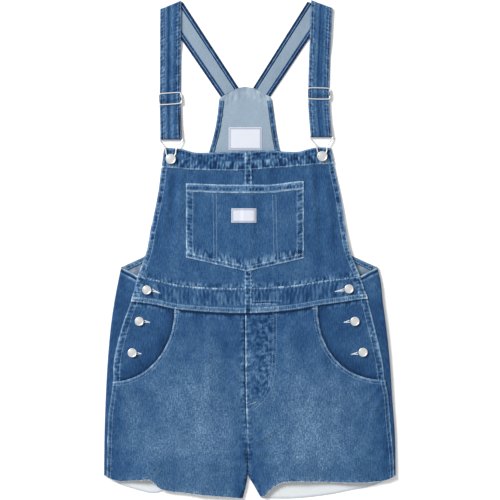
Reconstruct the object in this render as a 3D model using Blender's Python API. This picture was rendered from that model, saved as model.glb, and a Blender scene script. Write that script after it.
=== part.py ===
"""Denim dungaree shorts laid flat, front up.

X runs to the viewer's right, Y up the garment from hem to shoulder, Z up from the surface it lies on.
Every size below is in millimetres, and the meshes are written in metres.
Left and right are the viewer's, looking down on the front.
"""

import math
from collections import namedtuple

import bpy
import numpy as np

MM = 0.001

# Cloth and seams
CLOTH = 1.2  # one layer of washed denim
SEAM_GAP = 0.3  # between pieces that touch
LAYER = CLOTH + SEAM_GAP  # one layer and the gap under the next
TURNED_EDGE = 2.2  # a folded and stitched edge
BAND = 2.6  # bib band, which is folded double
WAISTBAND = 2.9
BIB_SEAT = 0.6  # the bib sits this far up the thicker bands that it is sewn into
CENTRE_X = -3.5  # centre front and centre back seam

# Side openings
BUTTON_STAND = 30.0  # how far the back wraps under the buttoned edge
SIDE_SEAM_LAP = 9.0  # how far the back wraps under the leg front
POCKET_FACING = 13.0  # how far the side panel runs under the pocket edge
LIFT_LOW, LIFT_HIGH = -300.0, -262.0  # leg front drops off the side panel between these heights

# Legs
INSEAM_ROLL = 7.0  # width of the rolled inner leg edge
ROLL_START, ROLL_END = -362.0, -392.0

# Centre seam strip, bib pocket and labels
STRIP_WIDTH = 13.0
STRIP_CLOTH = 1.2
STRIP_TOP_Y, STRIP_END_Y = 182.6, -116.6
POCKET_BAND_HEIGHT = 15.5
POCKET_POUCH = 0.9
LABEL_CLOTH = 0.5
LABEL_GAP = 0.4

# Straps and hardware
STRAP_HALF = 19.5
STRAP_EDGE = 7.0  # width of the strap's turned edges
STRAP_EDGE_HALF = TURNED_EDGE / 2
STRAP_MID_OUT, STRAP_MID_IN = 0.8, 0.4  # the single layer between the turned edges
WIRE_RADIUS = 1.2
SLIDER_BAR = 2.2
SLIDER_THICK = 2.0
SLIDER_PITCH = 10.5  # from one slider bar to the next
BUTTON_NECK = 3.0

# Height of the underside of the lowest front layer
Level = namedtuple("Level", "y z")
LEVELS = [
    Level(-460, 6.6),
    Level(-300, 7.2),
    Level(-245, 7.8),
    Level(-90, 7.8),
    Level(-30, 6.4),
    Level(30, 4.4),
    Level(110, 3.4),
    Level(190, 3.2),
]

# Side fold of the back, from hem to armhole
FoldRow = namedtuple("FoldRow", "y left right")
SIDE_FOLD = [
    FoldRow(-420, -270, 270),
    FoldRow(-340, -269, 268.5),
    FoldRow(-279, -267, 264),
    FoldRow(-205, -263, 259),
    FoldRow(-131, -256, 251),
    FoldRow(-94, -250.5, 246),
    FoldRow(-57, -243.5, 242),
    FoldRow(-31, -238, 236),
]

# Outer edge of the front: side seam, buttoned edge, waistband end and bib edge
EdgeRow = namedtuple("EdgeRow", "y left right")
FRONT_EDGE = [
    EdgeRow(-420, -265, 267.3),
    EdgeRow(-380, -264, 266),
    EdgeRow(-340, -263, 262),
    EdgeRow(-300, -261, 258.5),
    EdgeRow(-270, -256.5, 256),
    EdgeRow(-245, -253, 250.5),
    EdgeRow(-212, -252, 246),
    EdgeRow(-182, -247, 240),
    EdgeRow(-135, -234, 228.5),
    EdgeRow(-95, -220, 218.5),
    EdgeRow(-47, -207, 203),
    EdgeRow(-1, -190.5, 185),
    EdgeRow(36, -184, 178),
    EdgeRow(73, -176, 172),
    EdgeRow(110, -169, 166),
    EdgeRow(147, -164.5, 158),
    EdgeRow(189, -159, 150),
]

# Inner leg edges, which part below the crotch
InnerRow = namedtuple("InnerRow", "y left right")
INNER_EDGE = [
    InnerRow(-462, -13.5, 22),
    InnerRow(-437, -7.2, 8),
    InnerRow(-420, -4.2, -1.8),
    InnerRow(-395, -3.7, -3.3),
    InnerRow(-370, -3.65, -3.35),
    InnerRow(-340, -3.65, -3.35),
    InnerRow(190, -3.65, -3.35),
]

# How far left of the back's middle the centre front seam runs, down to the crotch
LapRow = namedtuple("LapRow", "y shift")
FRONT_LAP = [LapRow(-380, 0), LapRow(-371, 0), LapRow(-338, -1.5), LapRow(-279, -3.5), LapRow(-110, -5)]

# Top and bottom seams of the waistband
WaistRow = namedtuple("WaistRow", "x top bottom")
WAIST = [
    WaistRow(-222, -43, -95),
    WaistRow(-207, -47, -97),
    WaistRow(-175, -54.5, -101.5),
    WaistRow(-140, -63, -109),
    WaistRow(-94, -68.5, -113.5),
    WaistRow(-4, -70, -117),
    WaistRow(50, -68, -114),
    WaistRow(95, -63.5, -108.5),
    WaistRow(125, -58, -103),
    WaistRow(165, -53, -97.5),
    WaistRow(202, -48, -92),
    WaistRow(220, -45, -90),
]

# Top edge of the bib and the lower seam of its band
BibRow = namedtuple("BibRow", "x top seam")
BIB_TOP = [
    BibRow(-166, 188, 152),
    BibRow(-143, 188.5, 151),
    BibRow(-122, 186, 149),
    BibRow(-102, 180.5, 148),
    BibRow(-78, 180, 147),
    BibRow(-4, 183, 147),
    BibRow(41, 183.5, 151),
    BibRow(66, 182, 152.5),
    BibRow(91, 182, 155),
    BibRow(105, 186, 156),
    BibRow(123, 189.5, 157.5),
    BibRow(150, 189, 159),
    BibRow(160, 188, 160),
]

# Raw hems of the front and back of each leg
HemRow = namedtuple("HemRow", "x front back")
HEMS = {
    "left": [
        HemRow(-272, -417, -416),
        HemRow(-245, -427, -433),
        HemRow(-221, -426.5, -441),
        HemRow(-202, -425, -446),
        HemRow(-182, -426, -450),
        HemRow(-169, -439, -449),
        HemRow(-154, -445, -444),
        HemRow(-128, -448, -446),
        HemRow(-97, -452, -450),
        HemRow(-54, -456, -453),
        HemRow(-12, -460, -458),
    ],
    "right": [
        HemRow(20, -460, -459.5),
        HemRow(28, -456, -460),
        HemRow(40, -443, -460),
        HemRow(59, -430.5, -460),
        HemRow(80, -427.5, -459),
        HemRow(118, -428, -455.5),
        HemRow(149, -429, -451.5),
        HemRow(186, -430, -444.5),
        HemRow(227, -429, -437),
        HemRow(251, -426, -428),
        HemRow(272, -417, -416),
    ],
}

# Curved mouth of each hip pocket: a quarter of a superellipse, from the waistband to the side seam
Mouth = namedtuple("Mouth", "start_x corner_x depth power")
MOUTHS = {
    "left": Mouth(-139, -253, 134, 2.0),
    "right": Mouth(125, 250.5, 137, 2.2),
}

# Armhole edge of the back bib, from the back seam to the strap
BackRow = namedtuple("BackRow", "y left right")
BACK_EDGE = [
    BackRow(-13, -197, 193),
    BackRow(8, -165, 158),
    BackRow(51, -128, 121),
    BackRow(110, -99, 86),
    BackRow(180, -76, 57),
    BackRow(221, -65, 49),
    BackRow(250, -60, 45),
    BackRow(279, -57, 41),
]
BACK_TOP = [(-57, 279), (-54, 283.5), (-21, 300.5), (-8, 302.5), (6, 300), (37.5, 284), (41, 279)]
BACK_SEAM_Y = -13.0
ARMHOLE_END = {"left": (-230, -29.0), "right": (228, -29.5)}

# Soft folds: ridges along a line, each with a width and a height
Ridge = namedtuple("Ridge", "x0 y0 x1 y1 width height")
RIDGES = [
    Ridge(-196, -470, -178, -350, 27, 5.0),
    Ridge(-90, -480, -84, -380, 32, 2.2),
    Ridge(84, -470, 100, -350, 34, 4.6),
    Ridge(196, -460, 182, -350, 30, 3.2),
    Ridge(-146, 110, -158, 0, 20, 1.3),
    Ridge(132, 110, 150, 0, 20, 1.3),
    Ridge(-120, -150, -60, -250, 30, 1.0),
    Ridge(110, -150, 150, -290, 30, 1.0),
]

# Straps: centre line, shoulder fold, slider and the bar of the hook
StrapRow = namedtuple("StrapRow", "y left right")
STRAP_CENTRE = [
    StrapRow(190, -146, 134),
    StrapRow(208, -146, 132.5),
    StrapRow(280, -147.5, 127.7),
    StrapRow(320, -147.3, 128.3),
    StrapRow(460, -146.5, 133.5),
]
Strap = namedtuple("Strap", "fold_y fold_slope slider_y hook_bar_y button bib_outer bib_inner back_shift")
STRAPS = {
    "left": Strap(454.5, 0.41, 280.0, 207.6, (-146.0, 168.0), (-54, 283.5), (-21, 300.5), 2.5),
    "right": Strap(456.0, -0.37, 289.5, 212.0, (134.0, 173.0), (37.5, 284), (6, 300), -7.0),
}

# Side buttons: one on the waistband and two on the side panel
SIDE_BUTTONS = {
    "left": [(-190, -74), (-204, -132), (-217, -190)],
    "right": [(183, -72), (194, -132), (209, -189)],
}

# Finishes: colour, roughness, metallic
Finish = namedtuple("Finish", "colour roughness metallic")
DENIM = Finish((0.045, 0.115, 0.26, 1), 0.9, 0.0)
DENIM_INSIDE = Finish((0.32, 0.40, 0.50, 1), 0.9, 0.0)
LABEL_WHITE = Finish((0.80, 0.80, 0.84, 1), 0.7, 0.0)
SILVER = Finish((0.78, 0.78, 0.76, 1), 0.25, 1.0)

SIGN = {"left": -1, "right": 1}


def smoothstep(low, high, value):
    """0 at low, 1 at high, with soft ends; low may be above high."""
    t = np.clip((np.asarray(value, float) - low) / (high - low), 0, 1)
    return t * t * (3 - 2 * t)


def read_table(rows, key, column, value):
    """A smooth curve through one named column of a table, read at a key value."""
    keys = np.array([getattr(row, key) for row in rows], float)
    values = np.array([getattr(row, column) for row in rows], float)
    slopes = np.gradient(values, keys)
    v = np.clip(np.asarray(value, float), keys[0], keys[-1])
    i = np.clip(np.searchsorted(keys, v, side="right") - 1, 0, len(keys) - 2)
    span = keys[i + 1] - keys[i]
    t = (v - keys[i]) / span
    return (
        (2 * t**3 - 3 * t**2 + 1) * values[i]
        + (t**3 - 2 * t**2 + t) * span * slopes[i]
        + (3 * t**2 - 2 * t**3) * values[i + 1]
        + (t**3 - t**2) * span * slopes[i + 1]
    )


def front_edge(side, y):
    return read_table(FRONT_EDGE, "y", side, y)


def inner_edge(side, y):
    return read_table(INNER_EDGE, "y", side, y)


def leg_inner(side, y):
    """Inner edge of a leg front: the centre front seam above the crotch."""
    return inner_edge(side, y) + read_table(FRONT_LAP, "y", "shift", y)


def waist_seam(column, x):
    return read_table(WAIST, "x", column, x)


def ridge_height(x, y):
    """Sum of the soft folds at a point."""
    total = np.zeros(np.broadcast(x, y).shape)
    for r in RIDGES:
        along = np.array([r.x1 - r.x0, r.y1 - r.y0], float)
        length = np.hypot(*along)
        along /= length
        run = (x - r.x0) * along[0] + (y - r.y0) * along[1]
        off = (x - r.x0) * along[1] - (y - r.y0) * along[0]
        ends = smoothstep(length, 0.45 * length, run) * smoothstep(-0.4 * length, 0.1 * length, run)
        total = total + r.height * np.exp(-((off / r.width) ** 2)) * ends
    return total


def base(x, y):
    """Underside of the lowest front layer."""
    x, y = np.asarray(x, float), np.asarray(y, float)
    level = read_table(LEVELS, "y", "z", y)
    thigh = 2.4 * np.exp(-(((np.abs(x) - 118) / 80) ** 2)) * np.exp(-(((y + 270) / 120) ** 2))
    droop = 1.5 * smoothstep(60, 160, np.abs(x)) * smoothstep(0, 120, y)
    return level + thigh - droop + ridge_height(x, y)


def leg_lift(y):
    """How far the leg front is raised by the side panel under it."""
    return LAYER * smoothstep(LIFT_LOW, LIFT_HIGH, y)


def leg_under(x, y):
    return base(x, y) + leg_lift(y)


def bib_top_face(x, y):
    return base(x, y) + BIB_SEAT + CLOTH


def make_material(name, finish):
    material = bpy.data.materials.get(name)
    if material:
        return material
    material = bpy.data.materials.new(name)
    material.use_nodes = True
    shader = material.node_tree.nodes["Principled BSDF"]
    shader.inputs["Base Color"].default_value = finish.colour
    shader.inputs["Roughness"].default_value = finish.roughness
    shader.inputs["Metallic"].default_value = finish.metallic
    return material


def add_object(name, points, faces, finish, smooth=True):
    """One named object; points in millimetres, faces turned to point outwards."""
    points = np.asarray(points, float)
    volume = sum(
        np.dot(points[f[0]], np.cross(points[f[k]], points[f[k + 1]]))
        for f in faces
        for k in range(1, len(f) - 1)
    )
    if volume < 0:
        faces = [f[::-1] for f in faces]
    mesh = bpy.data.meshes.new(name)
    mesh.from_pydata([tuple(p) for p in points * MM], [], faces)
    mesh.materials.append(make_material(name + "_finish", finish))
    if smooth:
        mesh.shade_smooth()
        mesh.set_sharp_from_angle(angle=math.radians(40))
    obj = bpy.data.objects.new(name, mesh)
    bpy.context.scene.collection.objects.link(obj)
    obj.parent = garment
    return obj


def shell(name, upper, lower, finish=DENIM):
    """A closed wall between two grids of points with the same rows and columns."""
    rows, columns = upper.shape[:2]
    count = rows * columns
    points = np.concatenate([upper.reshape(-1, 3), lower.reshape(-1, 3)])
    faces = []
    for r in range(rows - 1):
        for c in range(columns - 1):
            a = r * columns + c
            quad = (a, a + 1, a + columns + 1, a + columns)
            faces.append(quad)
            faces.append(tuple(i + count for i in reversed(quad)))
    rim = [(0, c) for c in range(columns)]
    rim += [(r, columns - 1) for r in range(1, rows)]
    rim += [(rows - 1, c) for c in range(columns - 2, -1, -1)]
    rim += [(r, 0) for r in range(rows - 2, 0, -1)]
    edge = [r * columns + c for r, c in rim]
    for a, b in zip(edge, edge[1:] + edge[:1]):
        faces.append((b, a, a + count, b + count))
    return add_object(name, points, faces, finish)


def lift_grid(plan, height):
    """Gives each point of a flat grid a height."""
    return np.dstack([plan[..., 0], plan[..., 1], height])


def panel(name, plan, under, thickness, finish=DENIM):
    """A wall over a flat grid, from a height function up by its thickness."""
    low = under(plan[..., 0], plan[..., 1])
    return shell(name, lift_grid(plan, low + thickness), lift_grid(plan, low), finish)


def even(points, count):
    """Points evenly spaced along a polyline."""
    points = np.asarray(points, float)
    run = np.concatenate([[0], np.cumsum(np.hypot(*np.diff(points, axis=0).T))])
    at = np.linspace(0, run[-1], count + 1)
    return np.column_stack([np.interp(at, run, points[:, k]) for k in (0, 1)])


def patch(bottom, top, left, right):
    """A flat grid that fills four edges. Bottom and top run left to right, left and right run upwards."""
    u = np.linspace(0, 1, len(bottom))[None, :, None]
    v = np.linspace(0, 1, len(left))[:, None, None]
    corners = (
        (1 - u) * (1 - v) * bottom[0]
        + u * (1 - v) * bottom[-1]
        + (1 - u) * v * top[0]
        + u * v * top[-1]
    )
    return (1 - v) * bottom[None] + v * top[None] + (1 - u) * left[:, None] + u * right[:, None] - corners


def upright(curve, low, high, count, side=None):
    """An edge whose x is a function of y."""
    y = np.linspace(low, high, count * 6 + 1)
    x = curve(side, y) if side else curve(y)
    return even(np.column_stack([x, y]), count)


def level_line(curve, start, end, count):
    """An edge whose y is a function of x."""
    x = np.linspace(start, end, count * 6 + 1)
    return even(np.column_stack([x, curve(x)]), count)


def mouth_curve(side, widen=0.0):
    """The pocket mouth from the waistband seam to the side seam, or a curve that much further in."""
    m = MOUTHS[side]
    reach = abs(m.corner_x - m.start_x) + widen
    start_y = waist_seam("bottom", m.corner_x - SIGN[side] * reach) - SEAM_GAP
    t = np.linspace(0, math.pi / 2, 73)
    x = m.corner_x - SIGN[side] * reach * np.cos(t) ** (2 / m.power)
    y = start_y - (m.depth + widen) * np.sin(t) ** (2 / m.power)
    return np.column_stack([x, y])


def leg_front(side):
    """One front half: waist seam and pocket mouth on top, raw hem below, rolled at the inseam."""
    sign = SIGN[side]
    rows, waist_steps, mouth_steps, roll_steps = 15, 8, 9, 3
    hem = lambda x: read_table(HEMS[side], "x", "front", x)
    seam = lambda x: waist_seam("bottom", x) - SEAM_GAP
    start_x, mouth = MOUTHS[side].start_x, mouth_curve(side)
    flat_inner = lambda s, y: leg_inner(s, y) + sign * INSEAM_ROLL
    hem_outer = float(front_edge(side, -420))
    waist = level_line(seam, flat_inner(side, -117), start_x, waist_steps)
    top = np.concatenate([waist, even(mouth, mouth_steps)[1:]])
    bottom = level_line(hem, flat_inner(side, -460), hem_outer, waist_steps + mouth_steps)
    inner = upright(flat_inner, bottom[0, 1], top[0, 1], rows, side)
    outer = upright(front_edge, bottom[-1, 1], top[-1, 1], rows, side)
    outer[-1] = top[-1]
    plan = patch(bottom, top, inner, outer)
    under = leg_under(plan[..., 0], plan[..., 1])
    upper, lower = lift_grid(plan, under + CLOTH), lift_grid(plan, under)
    y = plan[:, :1, 1]
    turn = np.arange(roll_steps)[None] / roll_steps * math.pi / 2
    edge_x, end_x = leg_inner(side, y), plan[:, :1, 0]
    flat_x = edge_x + (end_x - edge_x) * turn / (math.pi / 2)
    flat_z = leg_under(flat_x, y)
    curl = smoothstep(ROLL_START, ROLL_END, y)
    rise = under[:, :1] + CLOTH - LAYER
    rolls = []
    for reach, height, lift in ((INSEAM_ROLL, rise, CLOTH), (INSEAM_ROLL - CLOTH, rise - CLOTH, 0)):
        round_x = end_x - sign * reach * np.cos(turn)
        round_z = LAYER + height * np.sin(turn)
        x = flat_x + curl * (round_x - flat_x)
        z = flat_z + lift + curl * (round_z - flat_z - lift)
        rolls.append(np.dstack(np.broadcast_arrays(x, y, z)))
    shell(
        "leg_front_" + side,
        np.concatenate([rolls[0], upper], axis=1),
        np.concatenate([rolls[1], lower], axis=1),
    )


def leg_back(side):
    """One back half: flat underneath, round at the side fold, and wrapped under the button edge."""
    sign = SIGN[side]
    rows, flat_steps, turn_steps, wrap_steps = 15, 9, 6, 5
    hem_at = lambda x: float(read_table(HEMS[side], "x", "back", x))
    upper, lower = [], []
    for c in range(flat_steps + turn_steps + wrap_steps + 1):
        on_flat, on_turn = min(c / flat_steps, 1), min(max(c - flat_steps, 0) / turn_steps, 1)
        on_wrap = max(c - flat_steps - turn_steps, 0) / wrap_steps
        rough_x = abs(CENTRE_X) + 266 * on_flat
        hem_y = hem_at(sign * min(max(rough_x, 14), 270))
        if on_wrap > 0:
            hem_y -= 4.0 * on_wrap
        if on_turn == 0:
            top_y = BACK_SEAM_Y - 17.5 * max(abs(CENTRE_X) + 230 * on_flat - 195, 0) / 38
        else:
            top_y = -30.5 - 3.5 * on_turn - 29 * on_wrap
        outer_column, inner_column = [], []
        for y in np.linspace(hem_y, top_y, rows + 1):
            fold = abs(float(read_table(SIDE_FOLD, "y", side, y)))
            crest = (float(base(sign * (fold - 4), y)) - SEAM_GAP) / 2
            start = sign * float(inner_edge(side, y))
            flat_end = fold - crest
            if on_turn == 0:
                x = start + (flat_end - start) * on_flat
                out, inn = (x, 0.0), (x, CLOTH)
            elif on_wrap == 0:
                a = (on_turn - 0.5) * math.pi
                out = (flat_end + crest * math.cos(a), crest + crest * math.sin(a))
                inn = (flat_end + (crest - CLOTH) * math.cos(a), crest + (crest - CLOTH) * math.sin(a))
            else:
                lap = SIDE_SEAM_LAP + (BUTTON_STAND - SIDE_SEAM_LAP) * float(smoothstep(-272, -248, y))
                x = flat_end + (abs(float(front_edge(side, y))) - lap - flat_end) * on_wrap
                top = float(base(sign * x, y)) - SEAM_GAP
                out, inn = (x, top), (x, top - CLOTH)
            outer_column.append([sign * out[0], y, out[1]])
            inner_column.append([sign * inn[0], y, inn[1]])
        upper.append(outer_column)
        lower.append(inner_column)
    shell("leg_back_" + side, np.array(upper), np.array(lower))


def side_panel(side):
    """The buttoned panel that shows inside the pocket mouth."""
    sign, steps = SIGN[side], 7
    rim = mouth_curve(side, POCKET_FACING)
    split = int(len(rim) * 0.62)
    low_corner = (MOUTHS[side].corner_x - sign * 0.3, rim[-1, 1])
    inner = even(rim[: split + 1][::-1], steps)
    bottom = even(np.concatenate([rim[split:-1], [low_corner]]), steps)
    seam = lambda x: waist_seam("bottom", x) - SEAM_GAP
    top_end = float(front_edge(side, -97))
    top = level_line(seam, inner[-1, 0], top_end, steps)
    outer = upright(front_edge, low_corner[1], top[-1, 1], steps, side)
    outer[0] = low_corner
    outer[-1] = top[-1]
    panel("side_panel_" + side, patch(bottom, top, inner, outer), base, CLOTH)


def waistband(side):
    sign = SIGN[side]
    columns, rows = 10, 3
    centre = float(inner_edge(side, -90))
    end_low, end_high = float(front_edge(side, -95)), float(front_edge(side, -47))
    bottom = level_line(lambda x: waist_seam("bottom", x), centre, end_low, columns)
    top = level_line(lambda x: waist_seam("top", x), centre, end_high, columns)
    left = even([bottom[0], top[0]], rows)
    right = even([bottom[-1], top[-1]], rows)
    panel("waistband_" + side, patch(bottom, top, left, right), base, WAISTBAND)


def bib_half(side):
    columns, rows = 9, 10
    centre = float(inner_edge(side, 0))
    waist = lambda x: waist_seam("top", x) + SEAM_GAP
    bottom = level_line(waist, centre, float(front_edge(side, -47)), columns)
    band_seam = lambda x: read_table(BIB_TOP, "x", "seam", x) - SEAM_GAP
    top = level_line(band_seam, centre, float(front_edge(side, 155)), columns)
    left = even([bottom[0], top[0]], rows)
    right = upright(front_edge, bottom[-1, 1], top[-1, 1], rows, side)
    right[0], right[-1] = bottom[-1], top[-1]
    panel("bib_" + side, patch(bottom, top, left, right), lambda x, y: base(x, y) + BIB_SEAT, CLOTH)


def bib_band(side):
    columns, rows = 9, 2
    centre = float(inner_edge(side, 160))
    lower, upper = [lambda x, column=c: read_table(BIB_TOP, "x", column, x) for c in ("seam", "top")]
    bottom = level_line(lower, centre, float(front_edge(side, 156)), columns)
    top = level_line(upper, centre, float(front_edge(side, 189)), columns)
    left = even([bottom[0], top[0]], rows)
    right = even([bottom[-1], top[-1]], rows)
    panel("bib_band_" + side, patch(bottom, top, left, right), base, BAND)


def strip_seat(y):
    """What the centre seam strip lies on, above the base height."""
    bib = BIB_SEAT + CLOTH
    on_band = smoothstep(142, 146, y)
    on_waist = smoothstep(-66, -70, y)
    return bib + (BAND - bib) * on_band + (WAISTBAND - bib) * on_waist


def centre_strip():
    """The felled seam up the middle of the waistband and the bib."""
    waist_part = [STRIP_END_Y, -94, -71, -65, -50]
    bib_part = np.linspace(-30, 135, 9)
    heights = np.concatenate([waist_part, bib_part, [141, 147, 165, STRIP_TOP_Y]])
    across = np.linspace(-STRIP_WIDTH / 2, STRIP_WIDTH / 2, 3) - 3.0
    plan = np.dstack(np.meshgrid(across, heights))
    panel("centre_seam_strip", plan, lambda x, y: base(x, y) + strip_seat(y) + SEAM_GAP, STRIP_CLOTH)


def pocket_under(x, y):
    """Underside of the bib pocket, which bulges over the centre strip and in its middle."""
    over_strip = LAYER * smoothstep(16, 7.5, np.abs(x + 3))
    pouch = POCKET_POUCH * np.clip(1 - ((x + 9) / 112) ** 2, 0, 1) * np.clip(1 - ((y - 45) / 75) ** 2, 0, 1)
    return bib_top_face(x, y) + SEAM_GAP + over_strip + pouch


def bib_pocket():
    """The chest pocket with its turned top band, and the bare woven label on it."""
    x = np.array([-118, -103, -86, -68, -50, -34, -19.5, -11, -3, 5, 13.5, 27, 40, 56, 72, 87, 100])
    opening = 120.5 + 6.5 * smoothstep(30, 100, x) + 2.5 * smoothstep(-40, -118, x)
    point = -40 + 25.5 * np.abs(x + 6) / 109
    band_edge = opening - POCKET_BAND_HEIGHT
    rows = np.linspace(0, 1, 8)[:, None]
    columns = np.broadcast_to(x, (8, len(x)))
    plan = np.dstack([columns, point + (band_edge - SEAM_GAP - point) * rows])
    panel("bib_pocket", plan, pocket_under, CLOTH)
    plan = np.dstack([columns[:3], band_edge + (opening - band_edge) * rows[[0, 3, 7]]])
    panel("bib_pocket_band", plan, pocket_under, TURNED_EDGE)
    x = np.array([-34, -27, -19.5, -11, -3, 5, 12])
    y = np.linspace(50.5, 76.5, 4)
    plan = np.dstack(np.meshgrid(x, y))
    panel("pocket_label", plan, lambda x, y: pocket_under(x, y) + CLOTH + LABEL_GAP, LABEL_CLOTH, LABEL_WHITE)


def back_bib():
    """The back bib, inner face up, with its turned armhole edges and the bare neck label."""
    rows, columns = 12, 10
    left = upright(lambda y: read_table(BACK_EDGE, "y", "left", y), BACK_SEAM_Y, 279, rows)
    right = upright(lambda y: read_table(BACK_EDGE, "y", "right", y), BACK_SEAM_Y, 279, rows)
    left[0, 1] = right[0, 1] = BACK_SEAM_Y + SEAM_GAP
    bottom = even([left[0], right[0]], columns)
    points = np.array(BACK_TOP, float)
    mid_points = [even(points[1:3], 2), even(points[2:5], 4)[1:], even(points[4:6], 2)[1:]]
    top = np.concatenate([points[:1], *mid_points, points[-1:]])
    panel("back_bib", patch(bottom, top, left, right), lambda x, y: 0 * x, CLOTH, DENIM_INSIDE)
    for side in ("left", "right"):
        armhole_hem(side)
    x, y = np.linspace(-39, 22, 4), np.linspace(185.5, 227, 3)
    plan = np.dstack(np.meshgrid(x, y))
    panel("neck_label", plan, lambda x, y: 0 * x + CLOTH + LABEL_GAP, LABEL_CLOTH, LABEL_WHITE)


def armhole_hem(side, width=9.0, thickness=1.0):
    """The turned edge along the armhole, lying on the inner face from the strap to the side fold."""
    sign, steps = SIGN[side], 16
    y = np.linspace(277, BACK_SEAM_Y, 60)
    line = np.column_stack([read_table(BACK_EDGE, "y", side, y), y])
    line = even(np.concatenate([line, [ARMHOLE_END[side]]]), steps)
    along = np.gradient(line, axis=0)
    along /= np.hypot(*along.T)[:, None]
    inward = np.column_stack([-along[:, 1], along[:, 0]]) * -sign
    inset = line + inward * 0.4
    plan = np.stack([inset, inset + inward * width], axis=1)
    panel("armhole_hem_" + side, plan, lambda x, y: 0 * x + LAYER, thickness)


def strap_profile():
    """Across the strap: offset, outer face and inner face from the middle of the wall."""
    edge = STRAP_HALF - STRAP_EDGE
    return [
        (-STRAP_HALF, STRAP_EDGE_HALF, STRAP_EDGE_HALF),
        (-edge, STRAP_EDGE_HALF, STRAP_EDGE_HALF),
        (-edge + 1, STRAP_MID_OUT, STRAP_MID_IN),
        (edge - 1, STRAP_MID_OUT, STRAP_MID_IN),
        (edge, STRAP_EDGE_HALF, STRAP_EDGE_HALF),
        (STRAP_HALF, STRAP_EDGE_HALF, STRAP_EDGE_HALF),
    ]


def strap_path(strap):
    """The strap's middle line seen from the side: shoulder fold, slider, hook bar, and back up underneath."""
    rest = STRAP_EDGE_HALF
    shoulder, stacked = rest + 3.3, rest + TURNED_EDGE + SEAM_GAP
    turn = (shoulder - rest) / 2
    centre_y = strap.fold_y - turn - rest
    path = [
        (centre_y + turn * math.sin(a), rest + turn - turn * math.cos(a))
        for a in np.linspace(0, math.pi, 7)
    ]
    path += [(centre_y - 12, stacked + 0.2), (390, stacked + 0.1), (378, stacked - 0.5)]
    path += [(362, rest + 0.5), (345, rest), (318, rest)]
    top_bar, low_bar = strap.slider_y + SLIDER_PITCH, strap.slider_y - SLIDER_PITCH
    over_bar = 7.5
    for start, low, high in ((top_bar, rest, over_bar), (strap.slider_y, over_bar, stacked)):
        for f in np.linspace(0, 1, 6):
            path.append((start - SLIDER_PITCH * f, low + (high - low) * float(smoothstep(0, 1, f))))
    path.remove((strap.slider_y, over_bar))
    loop = rest + SEAM_GAP + WIRE_RADIUS
    path += [(low_bar - 8, stacked), (strap.hook_bar_y + 26, stacked), (strap.hook_bar_y + 12, stacked + 1.4)]
    for a in np.linspace(0, math.pi, 9):
        path.append((strap.hook_bar_y - loop * math.sin(a), rest + loop + loop * math.cos(a)))
    path += [(strap.hook_bar_y + 14, rest), (low_bar - 8, rest), (strap.slider_y + 3, rest)]
    return np.array(path)


def strap_front(side):
    strap = STRAPS[side]
    path = strap_path(strap)
    along = np.gradient(path, axis=0)
    along /= np.hypot(*along.T)[:, None]
    normal = np.column_stack([-along[:, 1], along[:, 0]])
    if normal[12, 1] < 0:
        normal = -normal
    centre = read_table(STRAP_CENTRE, "y", side, path[:, 0])
    slant = strap.fold_slope * smoothstep(375, 440, path[:, 0])
    outer, inner = [], []
    for offset, out, into in strap_profile():
        x = centre + offset
        y = path[:, 0] + slant * offset
        outer.append(np.column_stack([x, y + normal[:, 0] * out, path[:, 1] + normal[:, 1] * out]))
        inner.append(np.column_stack([x, y - normal[:, 0] * into, path[:, 1] - normal[:, 1] * into]))
    shell("strap_front_" + side, np.array(outer), np.array(inner))


def strap_back(side):
    """From the back bib up to the shoulder fold, inner face up with its turned edges."""
    strap, sign = STRAPS[side], SIGN[side]
    top_centre = np.array([float(read_table(STRAP_CENTRE, "y", side, strap.fold_y)), strap.fold_y])
    low = np.array([strap.bib_outer, strap.bib_inner], float)
    high = top_centre + np.array([[sign * STRAP_HALF, 0], [-sign * STRAP_HALF, 0]])
    high[:, 1] += strap.fold_slope * (high[:, 0] - top_centre[0]) - 3.3
    high[:, 0] += strap.back_shift
    along = high.mean(axis=0) - low.mean(axis=0)
    along /= np.hypot(*along)
    low = low + along * (SEAM_GAP + 0.1)
    profile = strap_profile()
    upper, lower = [], []
    for t in np.linspace(0, 1, 6):
        start, end = low[0] + (high[0] - low[0]) * t, low[1] + (high[1] - low[1]) * t
        row_upper, row_lower = [], []
        for offset, out, into in profile:
            p = start + (end - start) * (offset + STRAP_HALF) / (2 * STRAP_HALF)
            row_upper.append([*p, STRAP_EDGE_HALF + into])
            row_lower.append([*p, 0.0])
        upper.append(row_upper)
        lower.append(row_lower)
    shell("strap_back_" + side, np.array(upper), np.array(lower), DENIM_INSIDE)


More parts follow.
